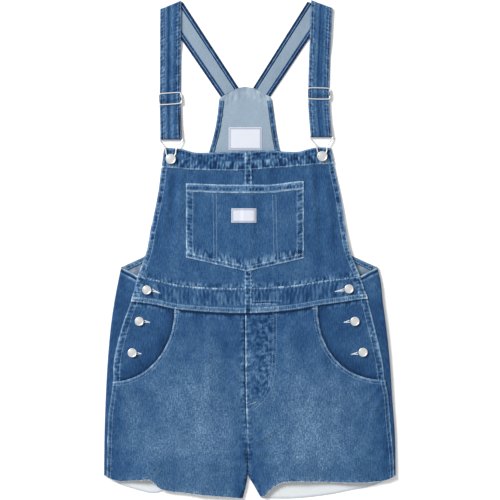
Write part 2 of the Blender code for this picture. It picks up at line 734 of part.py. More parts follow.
def slider(side):
    """A flat frame with a middle bar: the strap goes under, over and under its three bars."""
    strap = STRAPS[side]
    half_window = STRAP_HALF + 0.6
    xs = [-half_window - SLIDER_BAR, -half_window, half_window, half_window + SLIDER_BAR]
    bar = SLIDER_BAR / 2
    ys = [
        -SLIDER_PITCH - bar,
        -SLIDER_PITCH + bar,
        -bar,
        bar,
        SLIDER_PITCH - bar,
        SLIDER_PITCH + bar,
    ]
    solid = lambda i, j: 0 <= i < 3 and 0 <= j < 5 and not (i == 1 and j in (1, 3))
    count = len(xs) * len(ys)
    index = lambda i, j, k: k * count + j * len(xs) + i
    points = [(x, y, z) for z in (-SLIDER_THICK / 2, SLIDER_THICK / 2) for y in ys for x in xs]
    faces = []
    for j in range(5):
        for i in range(3):
            if not solid(i, j):
                continue
            quad = [(i, j), (i + 1, j), (i + 1, j + 1), (i, j + 1)]
            faces.append(tuple(index(*c, 1) for c in quad))
            faces.append(tuple(index(*c, 0) for c in reversed(quad)))
            beyond = [(i, j - 1), (i + 1, j), (i, j + 1), (i - 1, j)]
            for k, cell in enumerate(beyond):
                if not solid(*cell):
                    a, b = quad[k], quad[(k + 1) % 4]
                    faces.append((index(*b, 1), index(*a, 1), index(*a, 0), index(*b, 0)))
    obj = add_object("slider_" + side, points, faces, SILVER, smooth=False)
    centre = float(read_table(STRAP_CENTRE, "y", side, strap.slider_y))
    low_bar, top_bar = 6.1, 3.7
    tilt = math.atan2(top_bar - low_bar, 2 * SLIDER_PITCH)
    obj.location = (centre * MM, strap.slider_y * MM, (low_bar + top_bar) / 2 * MM)
    obj.rotation_euler = (tilt, 0, 0)
    bevel = obj.modifiers.new("Rounded edges", "BEVEL")
    bevel.width = 0.5 * MM
    bevel.segments = 1
    bevel.limit_method = "ANGLE"


def wire_loop(strap, side):
    """The hook's wire: a bar in the strap's loop, slanting sides, and a keyhole round the button's neck."""
    bx, by = strap.button
    centre = float(read_table(STRAP_CENTRE, "y", side, strap.hook_bar_y))
    bar_z = 2 * STRAP_EDGE_HALF + SEAM_GAP + WIRE_RADIUS
    band_z = float(base(bx, by)) + BAND + SEAM_GAP + WIRE_RADIUS + 0.2
    half_bar, corner = STRAP_HALF + 2.6, 3.0
    grip = BUTTON_NECK + SEAM_GAP + WIRE_RADIUS
    right = [(half_bar - corner, strap.hook_bar_y, bar_z), (half_bar - 0.9, strap.hook_bar_y - 0.9, bar_z)]
    right += [(half_bar, strap.hook_bar_y - corner, bar_z), (half_bar - 3.5, strap.hook_bar_y - 9, bar_z + 1)]
    right += [(12.5, by + 24, band_z - 0.3), (9.6, by + 18, band_z), (9.0, by + 12, band_z)]
    right += [(7.8, by + 7.5, band_z), (5.4, by + 3.8, band_z)]
    for a in np.linspace(0.15, math.pi / 2, 5):
        right.append((grip * math.cos(a), by - grip * math.sin(a), band_z))
    place = lambda x, y, z: (bx + (centre - bx) * smoothstep(by, strap.hook_bar_y, y) + x, y, z)
    left = [(-x, y, z) for x, y, z in right[-2::-1]]
    return [place(*p) for p in right + left]


def hook(side):
    """The dungaree hook as one bent wire."""
    points = wire_loop(STRAPS[side], side)
    curve = bpy.data.curves.new("hook_" + side, "CURVE")
    curve.dimensions = "3D"
    spline = curve.splines.new("POLY")
    spline.points.add(len(points) - 1)
    for point, place in zip(spline.points, points):
        point.co = (*(float(v) * MM for v in place), 1)
    spline.use_cyclic_u = True
    curve.bevel_depth = WIRE_RADIUS * MM
    curve.bevel_resolution = 2
    curve.materials.append(make_material("hook_finish", SILVER))
    obj = bpy.data.objects.new("hook_" + side, curve)
    bpy.context.scene.collection.objects.link(obj)
    obj.parent = garment


def button(name, place, neck_height, head_radius):
    """A shank button: neck, rim and a dished face, turned round its axis."""
    rim = neck_height + 0.7
    profile = [
        (BUTTON_NECK, 0),
        (BUTTON_NECK, neck_height),
        (head_radius - 1.0, neck_height),
        (head_radius, rim),
        (head_radius - 0.2, rim + 0.8),
        (head_radius - 1.2, rim + 1.4),
        (head_radius - 2.2, rim + 1.1),
        (head_radius * 0.35, rim + 1.3),
    ]
    sides = 20
    points = [
        (r * math.cos(2 * math.pi * s / sides), r * math.sin(2 * math.pi * s / sides), z)
        for r, z in profile
        for s in range(sides)
    ]
    faces = []
    for k in range(len(profile) - 1):
        for s in range(sides):
            after = (s + 1) % sides
            quad = [(k, s), (k, after), (k + 1, after), (k + 1, s)]
            faces.append(tuple(ring * sides + step for ring, step in quad))
    faces.append(tuple(reversed(range(sides))))
    faces.append(tuple(range((len(profile) - 1) * sides, len(profile) * sides)))
    obj = add_object(name, points, faces, SILVER)
    obj.location = tuple(v * MM for v in place)
    return obj


def highest(under, x, y, reach):
    """The highest point of a surface under a round foot."""
    angles = np.linspace(0, 2 * math.pi, 13)
    px = np.append(x + reach * np.cos(angles), x)
    py = np.append(y + reach * np.sin(angles), y)
    return float(np.max(under(px, py)))


def buttons():
    for side in ("left", "right"):
        x, y = STRAPS[side].button
        seat = highest(base, x, y, BUTTON_NECK) + BAND + SEAM_GAP
        button("bib_button_" + side, (x, y, seat), 2 * WIRE_RADIUS + 0.8, 9.5)
        for k, (x, y) in enumerate(SIDE_BUTTONS[side]):
            thickness = WAISTBAND if k == 0 else CLOTH
            seat = highest(base, x, y, BUTTON_NECK) + thickness + SEAM_GAP
            button(f"side_button_{side}_{k + 1}", (x, y, seat), 1.4, 8.5)


for old in list(bpy.data.objects):
    bpy.data.objects.remove(old)

garment = bpy.data.objects.new("garment", None)
bpy.context.scene.collection.objects.link(garment)

for half in ("left", "right"):
    leg_back(half)
    leg_front(half)
    side_panel(half)
    waistband(half)
    bib_half(half)
    bib_band(half)
    strap_front(half)
    strap_back(half)
    slider(half)
    hook(half)
centre_strip()
bib_pocket()
back_bib()
buttons()
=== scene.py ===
# %% [markdown]
# Denim dungaree shorts, laid flat
#
# The garment is a pair of shorts with a bib, held up by two crossed straps. It lies on its back
# on a white surface, and the camera looks straight down on it. We load the plain model first and
# use it as a fixed frame: every dressed piece is built in the same place, with the same sizes.

# %% Load the frame
import math
from collections import namedtuple

import bpy
import numpy as np
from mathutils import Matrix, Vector
from mathutils.bvhtree import BVHTree


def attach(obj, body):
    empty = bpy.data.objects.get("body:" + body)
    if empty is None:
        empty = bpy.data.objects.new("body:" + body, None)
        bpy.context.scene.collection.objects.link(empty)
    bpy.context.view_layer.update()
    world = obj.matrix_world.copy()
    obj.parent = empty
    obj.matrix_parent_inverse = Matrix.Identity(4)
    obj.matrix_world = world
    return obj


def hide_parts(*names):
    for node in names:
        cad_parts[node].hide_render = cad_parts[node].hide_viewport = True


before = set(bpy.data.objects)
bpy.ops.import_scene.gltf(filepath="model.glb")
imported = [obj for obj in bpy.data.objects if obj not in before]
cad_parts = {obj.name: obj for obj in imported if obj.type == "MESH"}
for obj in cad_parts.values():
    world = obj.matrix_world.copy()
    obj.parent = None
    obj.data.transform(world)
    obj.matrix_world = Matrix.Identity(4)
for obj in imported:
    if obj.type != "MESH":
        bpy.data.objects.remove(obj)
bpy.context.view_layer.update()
MM = 0.001
SIGN = {"left": -1, "right": 1}
SIDES = ("left", "right")

# %% [markdown]
# The view
#
# A flat lay is photographed from straight above with a long lens, so that nothing leans. We work
# out the camera's height from the width that the picture covers. The light is an even white
# surround with one stronger source at the upper left, which gives the folds their shading and
# the pale shadow on the right. A weak source at the lower right keeps that shadow soft.

# %% Camera, lights and floor
PIXEL = 1.85  # millimetres of garment in one pixel of the picture
PICTURE_WIDTH = 500 * PIXEL
LENS, SENSOR = 100.0, 36.0
AIM_X, AIM_Y, FRONT_HEIGHT = 0.3, -0.2, 6.0

camera = bpy.data.objects.new("camera", bpy.data.cameras.new("camera"))
camera.data.lens = LENS
camera.data.sensor_width = SENSOR
camera.location = (AIM_X * MM, AIM_Y * MM, (PICTURE_WIDTH * LENS / SENSOR + FRONT_HEIGHT) * MM)
bpy.context.scene.collection.objects.link(camera)
bpy.context.scene.camera = camera


def area_light(name, place, width, energy):
    """A square light that faces the middle of the garment."""
    lamp = bpy.data.lights.new(name, "AREA")
    lamp.size = width
    lamp.energy = energy
    obj = bpy.data.objects.new(name, lamp)
    obj.location = place
    obj.rotation_euler = (-Vector(place)).to_track_quat("-Z", "Y").to_euler()
    bpy.context.scene.collection.objects.link(obj)


area_light("key light", place=(-3.2, 2.5, 3.1), width=1.5, energy=330)
area_light("fill light", place=(1.6, -1.2, 2.6), width=2.2, energy=14)
world = bpy.data.worlds.new("studio")
world.use_nodes = True
surround = world.node_tree.nodes["Background"]
surround.inputs["Color"].default_value = (1, 1, 1, 1)
surround.inputs["Strength"].default_value = 0.50
bpy.context.scene.world = world
bpy.context.scene.view_settings.view_transform = "Standard"

floor_mesh = bpy.data.meshes.new("floor")
FLOOR_HALF, FLOOR_Z = 4.0, -0.15 * MM
corners = [(-1, -1), (1, -1), (1, 1), (-1, 1)]
floor_mesh.from_pydata([(x * FLOOR_HALF, y * FLOOR_HALF, FLOOR_Z) for x, y in corners], [], [(0, 1, 2, 3)])
floor = bpy.data.objects.new("floor", floor_mesh)
bpy.context.scene.collection.objects.link(floor)
floor_paint = bpy.data.materials.new("floor")
floor_paint.use_nodes = True
floor_shader = floor_paint.node_tree.nodes["Principled BSDF"]
floor_shader.inputs["Base Color"].default_value = (0.96, 0.96, 0.96, 1)
floor_shader.inputs["Roughness"].default_value = 0.9
floor_mesh.materials.append(floor_paint)
print("camera is", round(camera.location.z, 3), "m above the floor")

# %% [markdown]
# Grain and fading, shared by every cloth
#
# Denim is a twill: blue threads run up the garment and white ones run across, and the blue ones
# float over the white ones along slanting ribs. Thick and thin places in the blue threads give
# short upright streaks. The ribs and streaks are one node group, so that the blue face and the
# pale inner face can both use them with their own strengths. A second group turns how faded and
# how rubbed the cloth is, with the painted shade and painted highlights that some pieces add to
# these two numbers, into one number from 0, new and dark, to 1, rubbed white.

# %% Helpers for node groups
def new_group(name, inputs, outputs):
    """An empty shader node group with number or vector inputs and number outputs."""
    group = bpy.data.node_groups.new(name, "ShaderNodeTree")
    for label, value in inputs.items():
        kind = "NodeSocketVector" if value is None else "NodeSocketFloat"
        socket = group.interface.new_socket(name=label, in_out="INPUT", socket_type=kind)
        if value is not None:
            socket.default_value = value
    for label in outputs:
        group.interface.new_socket(name=label, in_out="OUTPUT", socket_type="NodeSocketFloat")
    return group, group.nodes.new("NodeGroupInput").outputs, group.nodes.new("NodeGroupOutput").inputs


def calculate(tree, operation, first, second=None, third=None, clamp=False):
    """One Math node. Each value is a number or another node's output."""
    node = tree.nodes.new("ShaderNodeMath")
    node.operation = operation
    node.use_clamp = clamp
    for socket, value in zip(node.inputs, (first, second, third)):
        if isinstance(value, (int, float)):
            socket.default_value = value
        elif value is not None:
            tree.links.new(value, socket)
    return node.outputs["Value"]


def stretched_noise(tree, vector, across, along, detail=2.0, roughness=0.6):
    """Noise whose blotches are across by along millimetres, from -1 to 1."""
    scale = tree.nodes.new("ShaderNodeVectorMath")
    scale.operation = "MULTIPLY"
    scale.inputs[1].default_value = (1 / across, 1 / along, 1)
    tree.links.new(vector, scale.inputs[0])
    texture = tree.nodes.new("ShaderNodeTexNoise")
    texture.noise_dimensions = "2D"
    texture.inputs["Scale"].default_value = 1
    texture.inputs["Detail"].default_value = detail
    texture.inputs["Roughness"].default_value = roughness
    tree.links.new(scale.outputs["Vector"], texture.inputs["Vector"])
    return calculate(tree, "MULTIPLY_ADD", texture.outputs["Fac"], 2.0, -1.0)


# %% The twill grain group
TWILL_PITCH = 1.36  # millimetres from rib to rib, measured up the garment


def make_grain_group():
    """Ribs, upright thread streaks, fine specks and broad clouds, each from -1 to 1."""
    group, given, made = new_group("Twill grain", {"Cloth": None}, ["Rib", "Thread", "Speck", "Cloud"])
    split = group.nodes.new("ShaderNodeSeparateXYZ")
    group.links.new(given["Cloth"], split.inputs["Vector"])
    wander = stretched_noise(group, given["Cloth"], 3, 5)
    slant = calculate(group, "ADD", split.outputs["X"], split.outputs["Y"])
    slant = calculate(group, "MULTIPLY_ADD", wander, 0.35, slant)
    wave = calculate(group, "SINE", calculate(group, "MULTIPLY", slant, 2 * math.pi / TWILL_PITCH))
    group.links.new(wave, made["Rib"])
    threads = stretched_noise(group, given["Cloth"], 2.0, 10.0, detail=2.5, roughness=0.7)
    group.links.new(threads, made["Thread"])
    specks = stretched_noise(group, given["Cloth"], 2.6, 3.4, detail=2.5, roughness=0.75)
    group.links.new(specks, made["Speck"])
    cloud = stretched_noise(group, given["Cloth"], 26, 38, detail=3.0)
    group.links.new(cloud, made["Cloud"])
    return group


def make_tone_group():
    """One tone from 0, new and dark, to 1, rubbed white, and the height of the threads."""
    names = {"Fade": 0.5, "Rub and painted light": 0.0, "Rib": 0.0, "Thread": 0.0, "Speck": 0.0, "Cloud": 0.0}
    strengths = {"Rub and painted light strength": 0.25, "Rib strength": 0.04, "Thread strength": 0.2}
    strengths |= {"Speck strength": 0.3, "Cloud strength": 0.06}
    group, given, made = new_group("Denim tone", names | strengths, ["Tone", "Height"])
    tone = calculate(group, "MULTIPLY_ADD", given["Rub and painted light"], given["Rub and painted light strength"], given["Fade"])
    for part in ("Rib", "Thread", "Cloud"):
        tone = calculate(group, "MULTIPLY_ADD", given[part], given[part + " strength"], tone)
    worn = calculate(group, "MULTIPLY_ADD", given["Fade"], 3.0, -0.75, clamp=True)  # specks need faded cloth
    strength = calculate(group, "MULTIPLY", worn, given["Speck strength"])
    speck = calculate(group, "MULTIPLY", given["Speck"], strength)
    group.links.new(calculate(group, "ADD", tone, speck, clamp=True), made["Tone"])
    ribs = calculate(group, "MULTIPLY", given["Rib"], 0.3)
    height = calculate(group, "MULTIPLY_ADD", given["Thread"], 0.7, ribs)
    group.links.new(height, made["Height"])
    return group


GRAIN, TONE = make_grain_group(), make_tone_group()
print("node groups:", [g.name for g in bpy.data.node_groups])

# %% [markdown]
# Cloth finishes
#
# Every cloth mesh carries two numbers at each point, for fading and for rubbing, with painted shade
# and painted highlights added to them in places, and its own cloth coordinates in millimetres, so
# that the grain follows the thread of the piece and not the room.
# The finish reads them, adds the grain and looks the result up in a row of colours. The shader's
# plain numbers, such as the faint sheen of the nap, are set on the shader itself.

# %% Cloth materials
Shade = namedtuple("Shade", "tone colour")
DENIM_SHADES = [
    Shade(0.0, (0.004, 0.016, 0.050)),
    Shade(0.2, (0.009, 0.038, 0.110)),
    Shade(0.4, (0.025, 0.083, 0.192)),
    Shade(0.56, (0.066, 0.136, 0.240)),
    Shade(0.74, (0.135, 0.245, 0.385)),
    Shade(1.0, (0.410, 0.510, 0.600)),
]
INSIDE_SHADES = [
    Shade(0.0, (0.040, 0.075, 0.140)),
    Shade(0.5, (0.270, 0.345, 0.420)),
    Shade(1.0, (0.640, 0.670, 0.690)),
]


def cloth_material(name, shades, rub_and_painted_light=0.43, rib=0.05, thread=0.24, speck=0.42, cloud=0.12, bump=0.5):
    material = bpy.data.materials.new(name)
    material.use_nodes = True
    tree = material.node_tree
    shader = tree.nodes["Principled BSDF"]
    shader.inputs["Roughness"].default_value = 0.88
    shader.inputs["Specular IOR Level"].default_value = 0.12
    shader.inputs["Sheen Weight"].default_value = 0.02
    place = tree.nodes.new("ShaderNodeUVMap")
    place.uv_map = "cloth"
    grain = tree.nodes.new("ShaderNodeGroup")
    grain.node_tree = GRAIN
    tree.links.new(place.outputs["UV"], grain.inputs["Cloth"])
    tone = tree.nodes.new("ShaderNodeGroup")
    tone.node_tree = TONE
    for label, attribute in (("Fade", "fade_and_painted_shade"), ("Rub and painted light", "rub_and_painted_light")):
        reader = tree.nodes.new("ShaderNodeAttribute")
        reader.attribute_name = attribute
        tree.links.new(reader.outputs["Fac"], tone.inputs[label])
    for label, strength in (("Rib", rib), ("Thread", thread), ("Speck", speck), ("Cloud", cloud)):
        tree.links.new(grain.outputs[label], tone.inputs[label])
        tone.inputs[label + " strength"].default_value = strength
    tone.inputs["Rub and painted light strength"].default_value = rub_and_painted_light
    ramp = tree.nodes.new("ShaderNodeValToRGB")
    stops = ramp.color_ramp.elements
    while len(stops) < len(shades):
        stops.new(0.5)
    for stop, shade in zip(stops, shades):
        stop.position = shade.tone
    for stop, shade in zip(stops, shades):
        stop.color = (*shade.colour, 1)
    tree.links.new(tone.outputs["Tone"], ramp.inputs["Fac"])
    tree.links.new(ramp.outputs["Color"], shader.inputs["Base Color"])
    relief = tree.nodes.new("ShaderNodeBump")
    relief.inputs["Strength"].default_value = bump
    relief.inputs["Distance"].default_value = 0.0004
    tree.links.new(tone.outputs["Height"], relief.inputs["Height"])
    tree.links.new(relief.outputs["Normal"], shader.inputs["Normal"])
    return material


DENIM = cloth_material("washed denim", DENIM_SHADES)
INSIDE = cloth_material(
    "denim inner face", INSIDE_SHADES, rub_and_painted_light=0.15, rib=0.04, thread=0.07, speck=0.10, cloud=0.05, bump=0.2
)
print("cloth finishes made")

# %% [markdown]
# Sizes of the garment
#
# These short tables are the same ones that the plain model is built from, in millimetres. Each
# row is a height or a width on the garment, read through a smooth curve. Heights above the
# surface follow from layers of cloth 1.2 mm thick.

# %% Tables of the outline
# Thicknesses and gaps come first, then places and widths, all in millimetres.
CLOTH, SEAM_GAP, TURNED_EDGE, BAND, WAISTBAND, BIB_SEAT = 1.2, 0.3, 2.2, 2.6, 2.9, 0.6
LAYER = CLOTH + SEAM_GAP
CENTRE_X = -3.5
BUTTON_STAND, SIDE_SEAM_LAP, POCKET_FACING = 30.0, 9.0, 13.0
LIFT_LOW, LIFT_HIGH = -300.0, -262.0
INSEAM_ROLL, ROLL_START, ROLL_END = 7.0, -362.0, -392.0
STRIP_WIDTH, STRIP_TOP_Y, STRIP_END_Y = 13.0, 182.6, -116.6
POCKET_BAND_HEIGHT, POCKET_POUCH = 15.5, 0.9
LABEL_CLOTH, LABEL_GAP = 0.5, 0.4
STRAP_HALF, STRAP_EDGE = 19.5, 7.0
STRAP_EDGE_HALF, STRAP_MID_OUT, STRAP_MID_IN = TURNED_EDGE / 2, 0.8, 0.4
WIRE_RADIUS, SLIDER_PITCH, BUTTON_NECK = 1.2, 10.5, 3.0
BACK_SEAM_Y = -13.0

Level = namedtuple("Level", "y z")
LEVELS = [Level(-460, 6.6), Level(-300, 7.2), Level(-245, 7.8), Level(-90, 7.8), Level(-30, 6.4)]
LEVELS += [Level(30, 4.4), Level(110, 3.4), Level(190, 3.2)]
Pair = namedtuple("Pair", "y left right")
SIDE_FOLD = [Pair(-420, -270, 270), Pair(-340, -269, 268.5), Pair(-279, -267, 264), Pair(-205, -263, 259)]
SIDE_FOLD += [Pair(-131, -256, 251), Pair(-94, -250.5, 246), Pair(-57, -243.5, 242), Pair(-31, -238, 236)]
FRONT_EDGE = [Pair(-420, -265, 267.3), Pair(-380, -264, 266), Pair(-340, -263, 262), Pair(-300, -261, 258.5)]
FRONT_EDGE += [Pair(-270, -256.5, 256), Pair(-245, -253, 250.5), Pair(-212, -252, 246), Pair(-182, -247, 240)]
FRONT_EDGE += [Pair(-135, -234, 228.5), Pair(-95, -220, 218.5), Pair(-47, -207, 203), Pair(-1, -190.5, 185)]
FRONT_EDGE += [Pair(36, -184, 178), Pair(73, -176, 172), Pair(110, -169, 166), Pair(147, -164.5, 158)]
FRONT_EDGE += [Pair(189, -159, 150)]
INNER_EDGE = [Pair(-462, -13.5, 22), Pair(-437, -7.2, 8), Pair(-420, -4.2, -1.8), Pair(-395, -3.7, -3.3)]
INNER_EDGE += [Pair(-370, -3.65, -3.35), Pair(-340, -3.65, -3.35), Pair(190, -3.65, -3.35)]
FrontLap = namedtuple("FrontLap", "y shift")
FRONT_LAP = [FrontLap(-380, 0), FrontLap(-371, 0), FrontLap(-338, -1.5)]
FRONT_LAP += [FrontLap(-279, -3.5), FrontLap(-110, -5)]
Waist = namedtuple("Waist", "x top bottom")
WAIST = [Waist(-222, -43, -95), Waist(-207, -47, -97), Waist(-175, -54.5, -101.5), Waist(-140, -63, -109)]
WAIST += [Waist(-94, -68.5, -113.5), Waist(-4, -70, -117), Waist(50, -68, -114), Waist(95, -63.5, -108.5)]
WAIST += [Waist(125, -58, -103), Waist(165, -53, -97.5), Waist(202, -48, -92), Waist(220, -45, -90)]
BibTop = namedtuple("BibTop", "x top seam")
BIB_TOP = [BibTop(-166, 188, 152), BibTop(-143, 188.5, 151), BibTop(-122, 186, 149), BibTop(-102, 180.5, 148)]
BIB_TOP += [BibTop(-78, 180, 147), BibTop(-4, 183, 147), BibTop(41, 183.5, 151), BibTop(66, 182, 152.5)]
BIB_TOP += [BibTop(91, 182, 155), BibTop(105, 186, 156), BibTop(123, 189.5, 157.5), BibTop(150, 189, 159)]
BIB_TOP += [BibTop(160, 188, 160)]
Hem = namedtuple("Hem", "x front back")
HEMS = {"left": [Hem(-272, -417, -416), Hem(-245, -427, -433), Hem(-221, -426.5, -441)]}
HEMS["left"] += [Hem(-202, -425, -446), Hem(-182, -426, -450), Hem(-169, -439, -449), Hem(-154, -445, -444)]
HEMS["left"] += [Hem(-128, -448, -446), Hem(-97, -452, -450), Hem(-54, -456, -453), Hem(-12, -460, -458)]
HEMS["right"] = [Hem(20, -460, -459.5), Hem(28, -456, -460), Hem(40, -443, -460), Hem(59, -430.5, -460)]
HEMS["right"] += [Hem(80, -427.5, -459), Hem(118, -428, -455.5), Hem(149, -429, -451.5)]
HEMS["right"] += [Hem(186, -430, -444.5), Hem(227, -429, -437), Hem(251, -426, -428), Hem(272, -417, -416)]
Mouth = namedtuple("Mouth", "start_x corner_x depth power")
MOUTHS = {"left": Mouth(-139, -253, 134, 2.0), "right": Mouth(125, 250.5, 137, 2.2)}
BACK_EDGE = [Pair(-13, -197, 193), Pair(8, -165, 158), Pair(51, -128, 121), Pair(110, -99, 86)]
BACK_EDGE += [Pair(180, -76, 57), Pair(221, -65, 49), Pair(250, -60, 45), Pair(279, -57, 41)]
BACK_TOP = [(-57, 279), (-54, 283.5), (-21, 300.5), (-8, 302.5), (6, 300), (37.5, 284), (41, 279)]
ARMHOLE_END = {"left": (-230, -29.0), "right": (228, -29.5)}
STRAP_CENTRE = [Pair(190, -146, 134), Pair(208, -146, 132.5), Pair(280, -147.5, 127.7)]
STRAP_CENTRE += [Pair(320, -147.3, 128.3), Pair(460, -146.5, 133.5)]
Strap = namedtuple("Strap", "fold_y fold_slope slider_y hook_bar_y button bib_outer bib_inner back_shift")
STRAPS = {
    "left": Strap(454.5, 0.41, 280.0, 207.6, (-146.0, 168.0), (-54, 283.5), (-21, 300.5), 2.5),
    "right": Strap(456.0, -0.37, 289.5, 212.0, (134.0, 173.0), (37.5, 284), (6, 300), -7.0),
}
SIDE_BUTTONS = {
    "left": [(-190, -74), (-204, -132), (-217, -190)],
    "right": [(183, -72), (194, -132), (209, -189)],
}

# %% Reading the tables
def smoothstep(low, high, value):
    """0 at low, 1 at high, with soft ends; low may be above high."""
    t = np.clip((np.asarray(value, float) - low) / (high - low), 0, 1)
    return t * t * (3 - 2 * t)


def read_table(rows, key, column, value):
    """A smooth curve through one named column of a table."""
    keys = np.array([getattr(row, key) for row in rows], float)
    values = np.array([getattr(row, column) for row in rows], float)
    slopes = np.gradient(values, keys)
    v = np.clip(np.asarray(value, float), keys[0], keys[-1])
    i = np.clip(np.searchsorted(keys, v, side="right") - 1, 0, len(keys) - 2)
    span = keys[i + 1] - keys[i]
    t = (v - keys[i]) / span
    ends = (2 * t**3 - 3 * t**2 + 1) * values[i] + (3 * t**2 - 2 * t**3) * values[i + 1]
    return ends + span * ((t**3 - 2 * t**2 + t) * slopes[i] + (t**3 - t**2) * slopes[i + 1])


def front_edge(side, y):
    return read_table(FRONT_EDGE, "y", side, y)


def inner_edge(side, y):
    return read_table(INNER_EDGE, "y", side, y)


def leg_inner(side, y):
    return inner_edge(side, y) + read_table(FRONT_LAP, "y", "shift", y)


def waist_seam(column, x):
    return read_table(WAIST, "x", column, x)


print("hips are", front_edge("right", -245) - front_edge("left", -245), "mm wide")

# %% [markdown]
# Folds and crumples
#
# A laid-out garment is never flat. Broad soft folds are in the plain model already. On top of
# them we place the smaller creases, one row each: where it runs, how wide it is and how
# high. A little smooth noise then stops the cloth between them from looking ironed. All front
# layers share this one height, so they keep their order everywhere.

# %% Creases and the height of the front
Crease = namedtuple("Crease", "x0 y0 x1 y1 width height")
RIDGES = [
    Crease(-196, -470, -178, -350, 27, 5.0),
    Crease(-90, -480, -84, -380, 32, 2.2),
    Crease(84, -470, 100, -350, 34, 4.6),
    Crease(196, -460, 182, -350, 30, 3.2),
    Crease(-146, 110, -158, 0, 20, 1.3),
    Crease(132, 110, 150, 0, 20, 1.3),
    Crease(-120, -150, -60, -250, 30, 1.0),
    Crease(110, -150, 150, -290, 30, 1.0),
]
CREASES = [
    Crease(-248, -246, -208, -292, 5, 1.0),
    Crease(-252, -262, -222, -318, 5, 0.9),
    Crease(-238, -250, -160, -262, 6, 0.6),
    Crease(246, -243, 205, -290, 5, 1.0),
    Crease(250, -258, 220, -318, 5, 0.9),
    Crease(236, -246, 158, -258, 6, 0.6),
    Crease(-128, -116, -96, -132, 4, 0.9),
    Crease(-134, -124, -88, -166, 6, 0.6),
    Crease(70, -112, 118, -108, 5, 0.9),
    Crease(60, -120, 104, -150, 6, 0.6),
    Crease(-78, -140, -74, -330, 9, 0.7),
    Crease(-40, -150, -46, -300, 8, -0.5),
    Crease(72, -150, 66, -300, 10, 0.6),
    Crease(-14, -362, -70, -330, 5, 0.8),
    Crease(-14, -374, -84, -372, 6, 0.7),
    Crease(10, -358, 60, -322, 5, 0.9),
    Crease(12, -376, 92, -366, 7, 0.9),
    Crease(30, -392, 150, -378, 8, 0.7),
    Crease(-26, -400, -128, -388, 8, 0.6),
    Crease(-126, 150, -140, -44, 7, 0.8),
    Crease(-137, 150, -152, -44, 6, -0.9),
    Crease(-152, 120, -168, -40, 5, 0.6),
    Crease(112, 150, 124, -40, 7, 0.8),
    Crease(124, 150, 138, -36, 6, -0.8),
    Crease(140, 120, 158, -36, 5, 0.6),
    Crease(-60, 90, -70, -10, 9, -0.5),
    Crease(20, 100, 26, -20, 9, -0.5),
    Crease(-90, -46, -150, -52, 5, 0.5),
    Crease(60, -42, 140, -40, 5, 0.5),
]
LATTICE = np.random.default_rng(11).uniform(-1, 1, (16, 64, 64))


def noise(x, y, size_x, size_y, layer=0):
    """Smooth noise from -1 to 1, with cells of size_x by size_y millimetres."""
    u = np.asarray(x, float) / size_x + 0.37 * layer
    v = np.asarray(y, float) / size_y + 0.61 * layer
    i, j = np.floor(u).astype(int), np.floor(v).astype(int)
    fu, fv = smoothstep(0, 1, u - i), smoothstep(0, 1, v - j)
    table = LATTICE[layer % len(LATTICE)]
    corner = lambda a, b: table[(i + a) % 64, (j + b) % 64]
    low = corner(0, 0) * (1 - fu) + corner(1, 0) * fu
    high = corner(0, 1) * (1 - fu) + corner(1, 1) * fu
    return low * (1 - fv) + high * fv


def crease_height(creases, x, y, before=0.4, after=0.45):
    """Sum of ridges along lines, each soft across and faded at its ends."""
    total = np.zeros(np.broadcast(x, y).shape)
    for c in creases:
        length = math.hypot(c.x1 - c.x0, c.y1 - c.y0)
        along_x, along_y = (c.x1 - c.x0) / length, (c.y1 - c.y0) / length
        run = (x - c.x0) * along_x + (y - c.y0) * along_y
        off = (x - c.x0) * along_y - (y - c.y0) * along_x
        ends = smoothstep(length, after * length, run) * smoothstep(-before * length, 0.1 * length, run)
        total = total + c.height * np.exp(-((off / c.width) ** 2)) * ends
    return total


def small_creases(x, y):
    return crease_height(CREASES, x, y, before=0.15)


def crumple(x, y):
    """Creases and unevenness that the plain model leaves out."""
    uneven = 0.7 * noise(x, y, 36, 60, 1) + 0.34 * noise(x, y, 15, 26, 2) + 0.10 * noise(x, y, 6, 9, 3)
    return 2.0 * small_creases(x, y) + uneven


def base(x, y):
    """Underside of the lowest front layer."""
    x, y = np.asarray(x, float), np.asarray(y, float)
    level = read_table(LEVELS, "y", "z", y)
    thigh = 2.4 * np.exp(-(((np.abs(x) - 118) / 80) ** 2)) * np.exp(-(((y + 270) / 120) ** 2))
    droop = 1.5 * smoothstep(60, 160, np.abs(x)) * smoothstep(0, 120, y)
    return level + thigh - droop + crease_height(RIDGES, x, y) + crumple(x, y)


def leg_under(x, y):
    return base(x, y) + LAYER * smoothstep(LIFT_LOW, LIFT_HIGH, y)


def bib_under(x, y):
    return base(x, y) + BIB_SEAT


print("front is", round(float(base(-120, -270)), 1), "mm up at the left thigh")

# %% [markdown]
# Cutting a piece: grids with four sides
#
# Each pattern piece is a grid that fills four edges, like a net stretched over a wire frame. The
# points are closer together near the edges, where a folded edge rounds over. For every point we
# also keep its distance from each side, because that is how a sewer places rows of stitches.

# %% Edges, grids and distances
def run_along(points):
    """How far along a line of points each point is."""
    return np.concatenate([[0], np.cumsum(np.linalg.norm(np.diff(points, axis=0), axis=1))])


def sample(points, t):
    """Points of a line at fractions t of its length."""
    points = np.asarray(points, float)
    run = run_along(points)
    at = np.asarray(t) * run[-1]
    return np.column_stack([np.interp(at, run, points[:, k]) for k in range(points.shape[1])])


def length_of(points):
    return float(np.linalg.norm(np.diff(points, axis=0), axis=1).sum())


def stations(length, step, low=True, high=True):
    """Fractions of a length: even steps, with closer ones at a folded end."""
    close = np.array([0.0, 0.25, 0.6, 1.1, 1.8])
    start = close if low else close[:1]
    end = close[::-1] if high else close[:1]
    count = max(2, int(round((length - start[-1] - end[0]) / step)) + 1)
    inner = np.linspace(start[-1], length - end[0], count)
    return np.concatenate([start[:-1], inner, length - end[1:]]) / length


